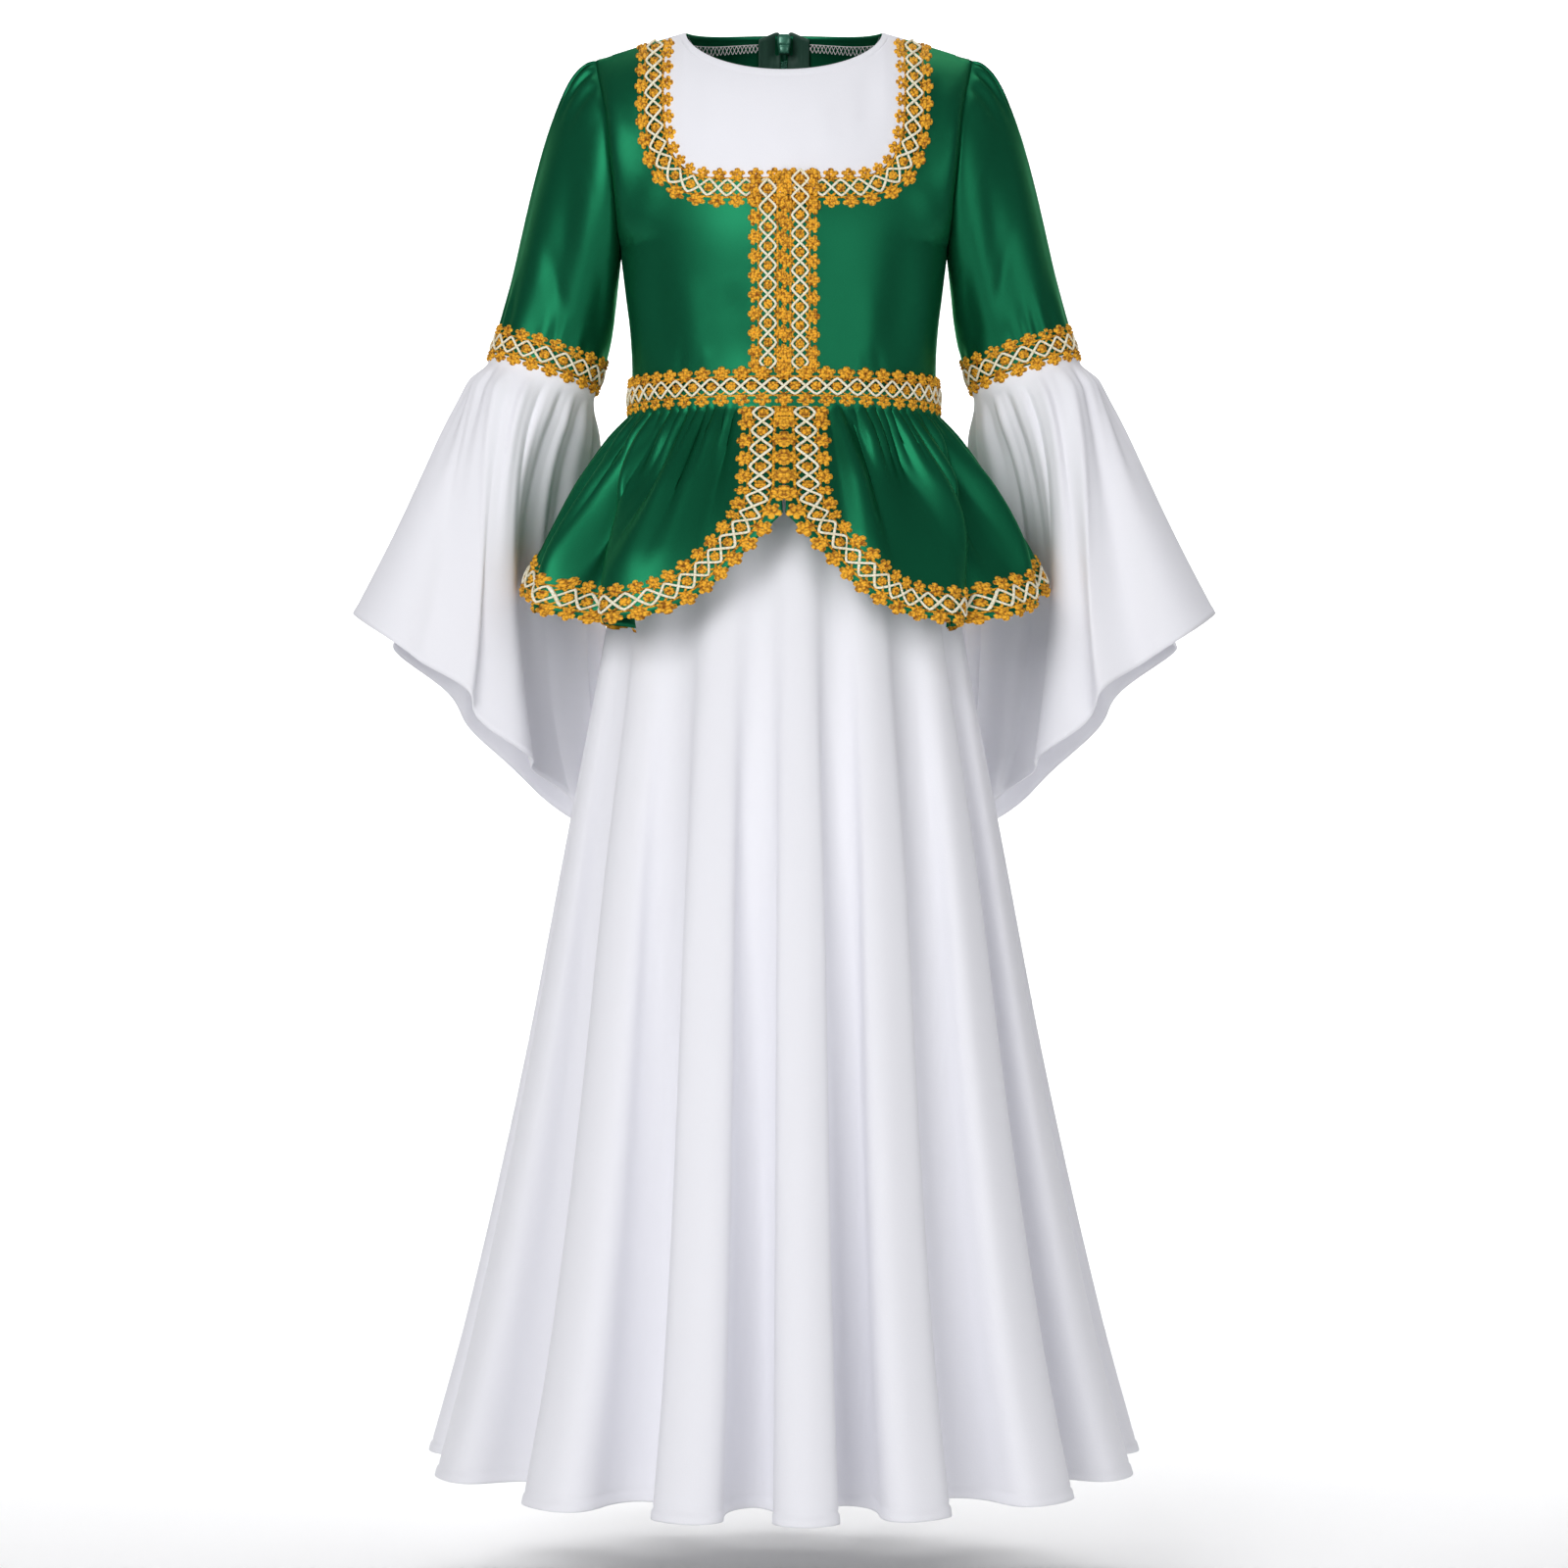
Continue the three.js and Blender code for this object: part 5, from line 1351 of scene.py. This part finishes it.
def wire(centre, radius, sides):
    """A circle carried along any line in space, held square to it by the line's own direction."""
    way = np.gradient(centre, axis=0)
    way /= np.linalg.norm(way, axis=1, keepdims=True)
    beside = np.cross(way, np.array([0.3, 1.0, 0.2]))
    beside /= np.linalg.norm(beside, axis=1, keepdims=True)
    above = np.cross(way, beside)
    turn = np.linspace(0, 2 * np.pi, sides, endpoint=False)[None, :, None]
    ring = np.cos(turn) * beside[:, None] + np.sin(turn) * above[:, None]
    points = centre[:, None] + radius * ring
    return points.reshape(-1, 3), grid_faces(len(centre), sides, True)


def plain_mesh(name, parts, material):
    """One piece from several (points, faces) in mm, smooth, with its finish, riding on the body."""
    points, faces = joined(parts)
    mesh = bpy.data.meshes.new(name)
    mesh.from_pydata((points * MM).tolist(), [], faces.tolist())
    mesh.polygons.foreach_set("use_smooth", np.ones(len(faces), bool))
    piece = bpy.data.objects.new(name, mesh)
    bpy.context.scene.collection.objects.link(piece)
    piece.data.materials.append(material)
    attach(piece, "root")
    print(f"{name}: {len(faces)} faces")
    return piece


both_coils = [wire(coil_line(side), WIRE, 4) for side in (1, -1)]
coil = plain_mesh("locked_coils", both_coils, COIL)
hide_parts("zip_coil")
TRIMMINGS["woven_tape_left"] = ["locked_coils"]

# %% The slider's wedge, its bridge and its pull
SLIDER = {"columns": ["z", "half", "inner", "outer"], "rows": [
    # the first and last rows close the ends
    (12.6, 0.2, 59.6, 61.4), (12.4, 3.0, 58.0, 62.6), (11.4, 4.4, 56.8, 63.6), (9.0, 5.3, 56.2, 64.4),
    (5.0, 5.2, 56.2, 64.6), (1.0, 4.3, 56.6, 64.6), (-1.6, 4.0, 57.0, 64.6), (-2.6, 3.6, 57.8, 63.8),
    (-2.8, 0.2, 60.0, 61.6),
]}
SLIDER_CORNER = 0.55


def slider_points(rows=40, columns=32):
    """A rounded wedge: at each height a superellipse between the inner and the outer face, with a dent
    across the inner plate, where the two ways of the zip meet."""
    z = np.linspace(SLIDER["rows"][0][0], SLIDER["rows"][-1][0], rows)[:, None]
    turn = np.linspace(0, 2 * np.pi, columns, endpoint=False)[None, :]
    half, inner, outer = (read(SLIDER, name, z) for name in ("half", "inner", "outer"))
    half = np.maximum(half, 0.1)
    x = half * np.sign(np.cos(turn)) * np.abs(np.cos(turn)) ** SLIDER_CORNER
    deep = np.sign(np.sin(turn)) * np.abs(np.sin(turn)) ** SLIDER_CORNER
    y = (inner + outer) / 2 + (outer - inner) / 2 * deep
    y = y + 0.5 * np.exp(-((z - 3.2) ** 2) / 1.2) * (deep < -0.5)
    return np.stack([x, y, z + 0 * x], axis=-1).reshape(-1, 3), grid_faces(rows, columns, True)


slider_mesh, slider_faces = slider_points()
slider = plain_mesh("slider_wedge", [(slider_mesh, slider_faces[:, ::-1])], ENAMEL)
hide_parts("zip_slider")

for node in ("zip_bridge", "zip_pull"):
    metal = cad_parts[node].data.materials
    metal.clear()
    metal.append(ENAMEL)

# %% [markdown]
# Stitching
#
# Inside the back neck the raw edge is overlocked with pale thread, a row of small loops that shows
# through the neckline, and the yoke's turned hem has its line of tiny stitches. The loops are one thin
# thread along a zigzag; the stitches are one small bead, repeated along the seam.

# %% Overlock loops inside the back neck
THREAD = new_material("pale_thread", (0.98, 0.94, 0.94), 0.7)
OVERLOCK_FROM, OVERLOCK_TO, OVERLOCK_DROP = 20.5, 70.0, 8.0
LOOP_PITCH, LOOP_SHARPNESS = 6.0, 0.98


def inside_back(x, z, depth):
    """Points just inside the bodice's back, x from the zip towards either side."""
    points = moved_out(back_trunk, np.pi - trunk_angle(np.abs(x), z), z, -depth + 0 * x)
    points[..., 0] *= np.sign(x)
    return points


def overlock(side):
    """Two zigzags that cross below the neck edge, and a plain thread that runs along their tops. Each is
    a height above the row's middle and a depth inside the cloth."""
    reach = np.linspace(OVERLOCK_FROM, OVERLOCK_TO, 380)
    edge = BACK_NECK_RISE * (1 - (reach / NECK_HALF) ** 2)
    loops = 2.7 * zigzag(np.sin(2 * np.pi * reach / LOOP_PITCH), LOOP_SHARPNESS)
    rows = [(loops, 1.75), (-loops, 1.3), (0 * reach + 2.9, 1.5)]
    middle = edge - OVERLOCK_DROP
    lines = [inside_back(side * reach, middle + lift, depth + CLOTH) for lift, depth in rows]
    return [wire(line, 0.25, 5) for line in lines]


plain_mesh("overlock_thread", overlock(1) + overlock(-1), THREAD)
TRIMMINGS["satin_back_left"].append("overlock_thread")

# %% Stitches along the yoke's hem
HEM_THREAD = new_material("white_thread", (0.80, 0.80, 0.84), 0.7)


def along_neck_hem(share, across, out):
    """A line NECK_HEM below the yoke's neck edge."""
    turn = np.pi * (share - 0.5)
    x = (NECK_HALF - NECK_HEM * 0.4) * np.sin(turn)
    z = -(FRONT_NECK_DROP + NECK_HEM) * np.cos(turn) - across
    return moved_out(front_trunk, trunk_angle(x, z), z, out)


def stitch_row(place, length, spacing, size):
    """One bead, an oval dome, copied at equal steps along a line and laid on the cloth."""
    around = np.linspace(0, 2 * np.pi, 6, endpoint=False)[None, :]
    up = np.radians(np.array([0, 45, 88]))[:, None]
    dome = [np.cos(up) * np.cos(around), np.cos(up) * np.sin(around), np.sin(up) + 0 * around]
    bead = (np.stack(dome, axis=-1) * np.array(size)).reshape(-1, 3)
    steps = np.arange(spacing, length - spacing / 2, spacing)
    flat, faces = stacked(bead, grid_faces(3, 6, True), steps)
    placed = place(flat[:, 0] / length, flat[:, 1], flat[:, 2])
    return placed, faces[:, ::-1] if is_mirrored(place) else faces


NECK_HEM_LENGTH, STITCH_SPACING, STITCH = 188.0, 2.6, (0.95, 0.3, 0.25)
hem_row = stitch_row(along_neck_hem, NECK_HEM_LENGTH, STITCH_SPACING, STITCH)
plain_mesh("neck_hem_stitches", [hem_row], HEM_THREAD)
TRIMMINGS["cloth_yoke"].append("neck_hem_stitches")

# %% [markdown]
# Reading back the cuts
#
# Each sheet's cut is read back from the list of sheets, and the view layer is brought up to date.

for row in SHEETS:
    width, length = row["cut"]

bpy.context.view_layer.update()
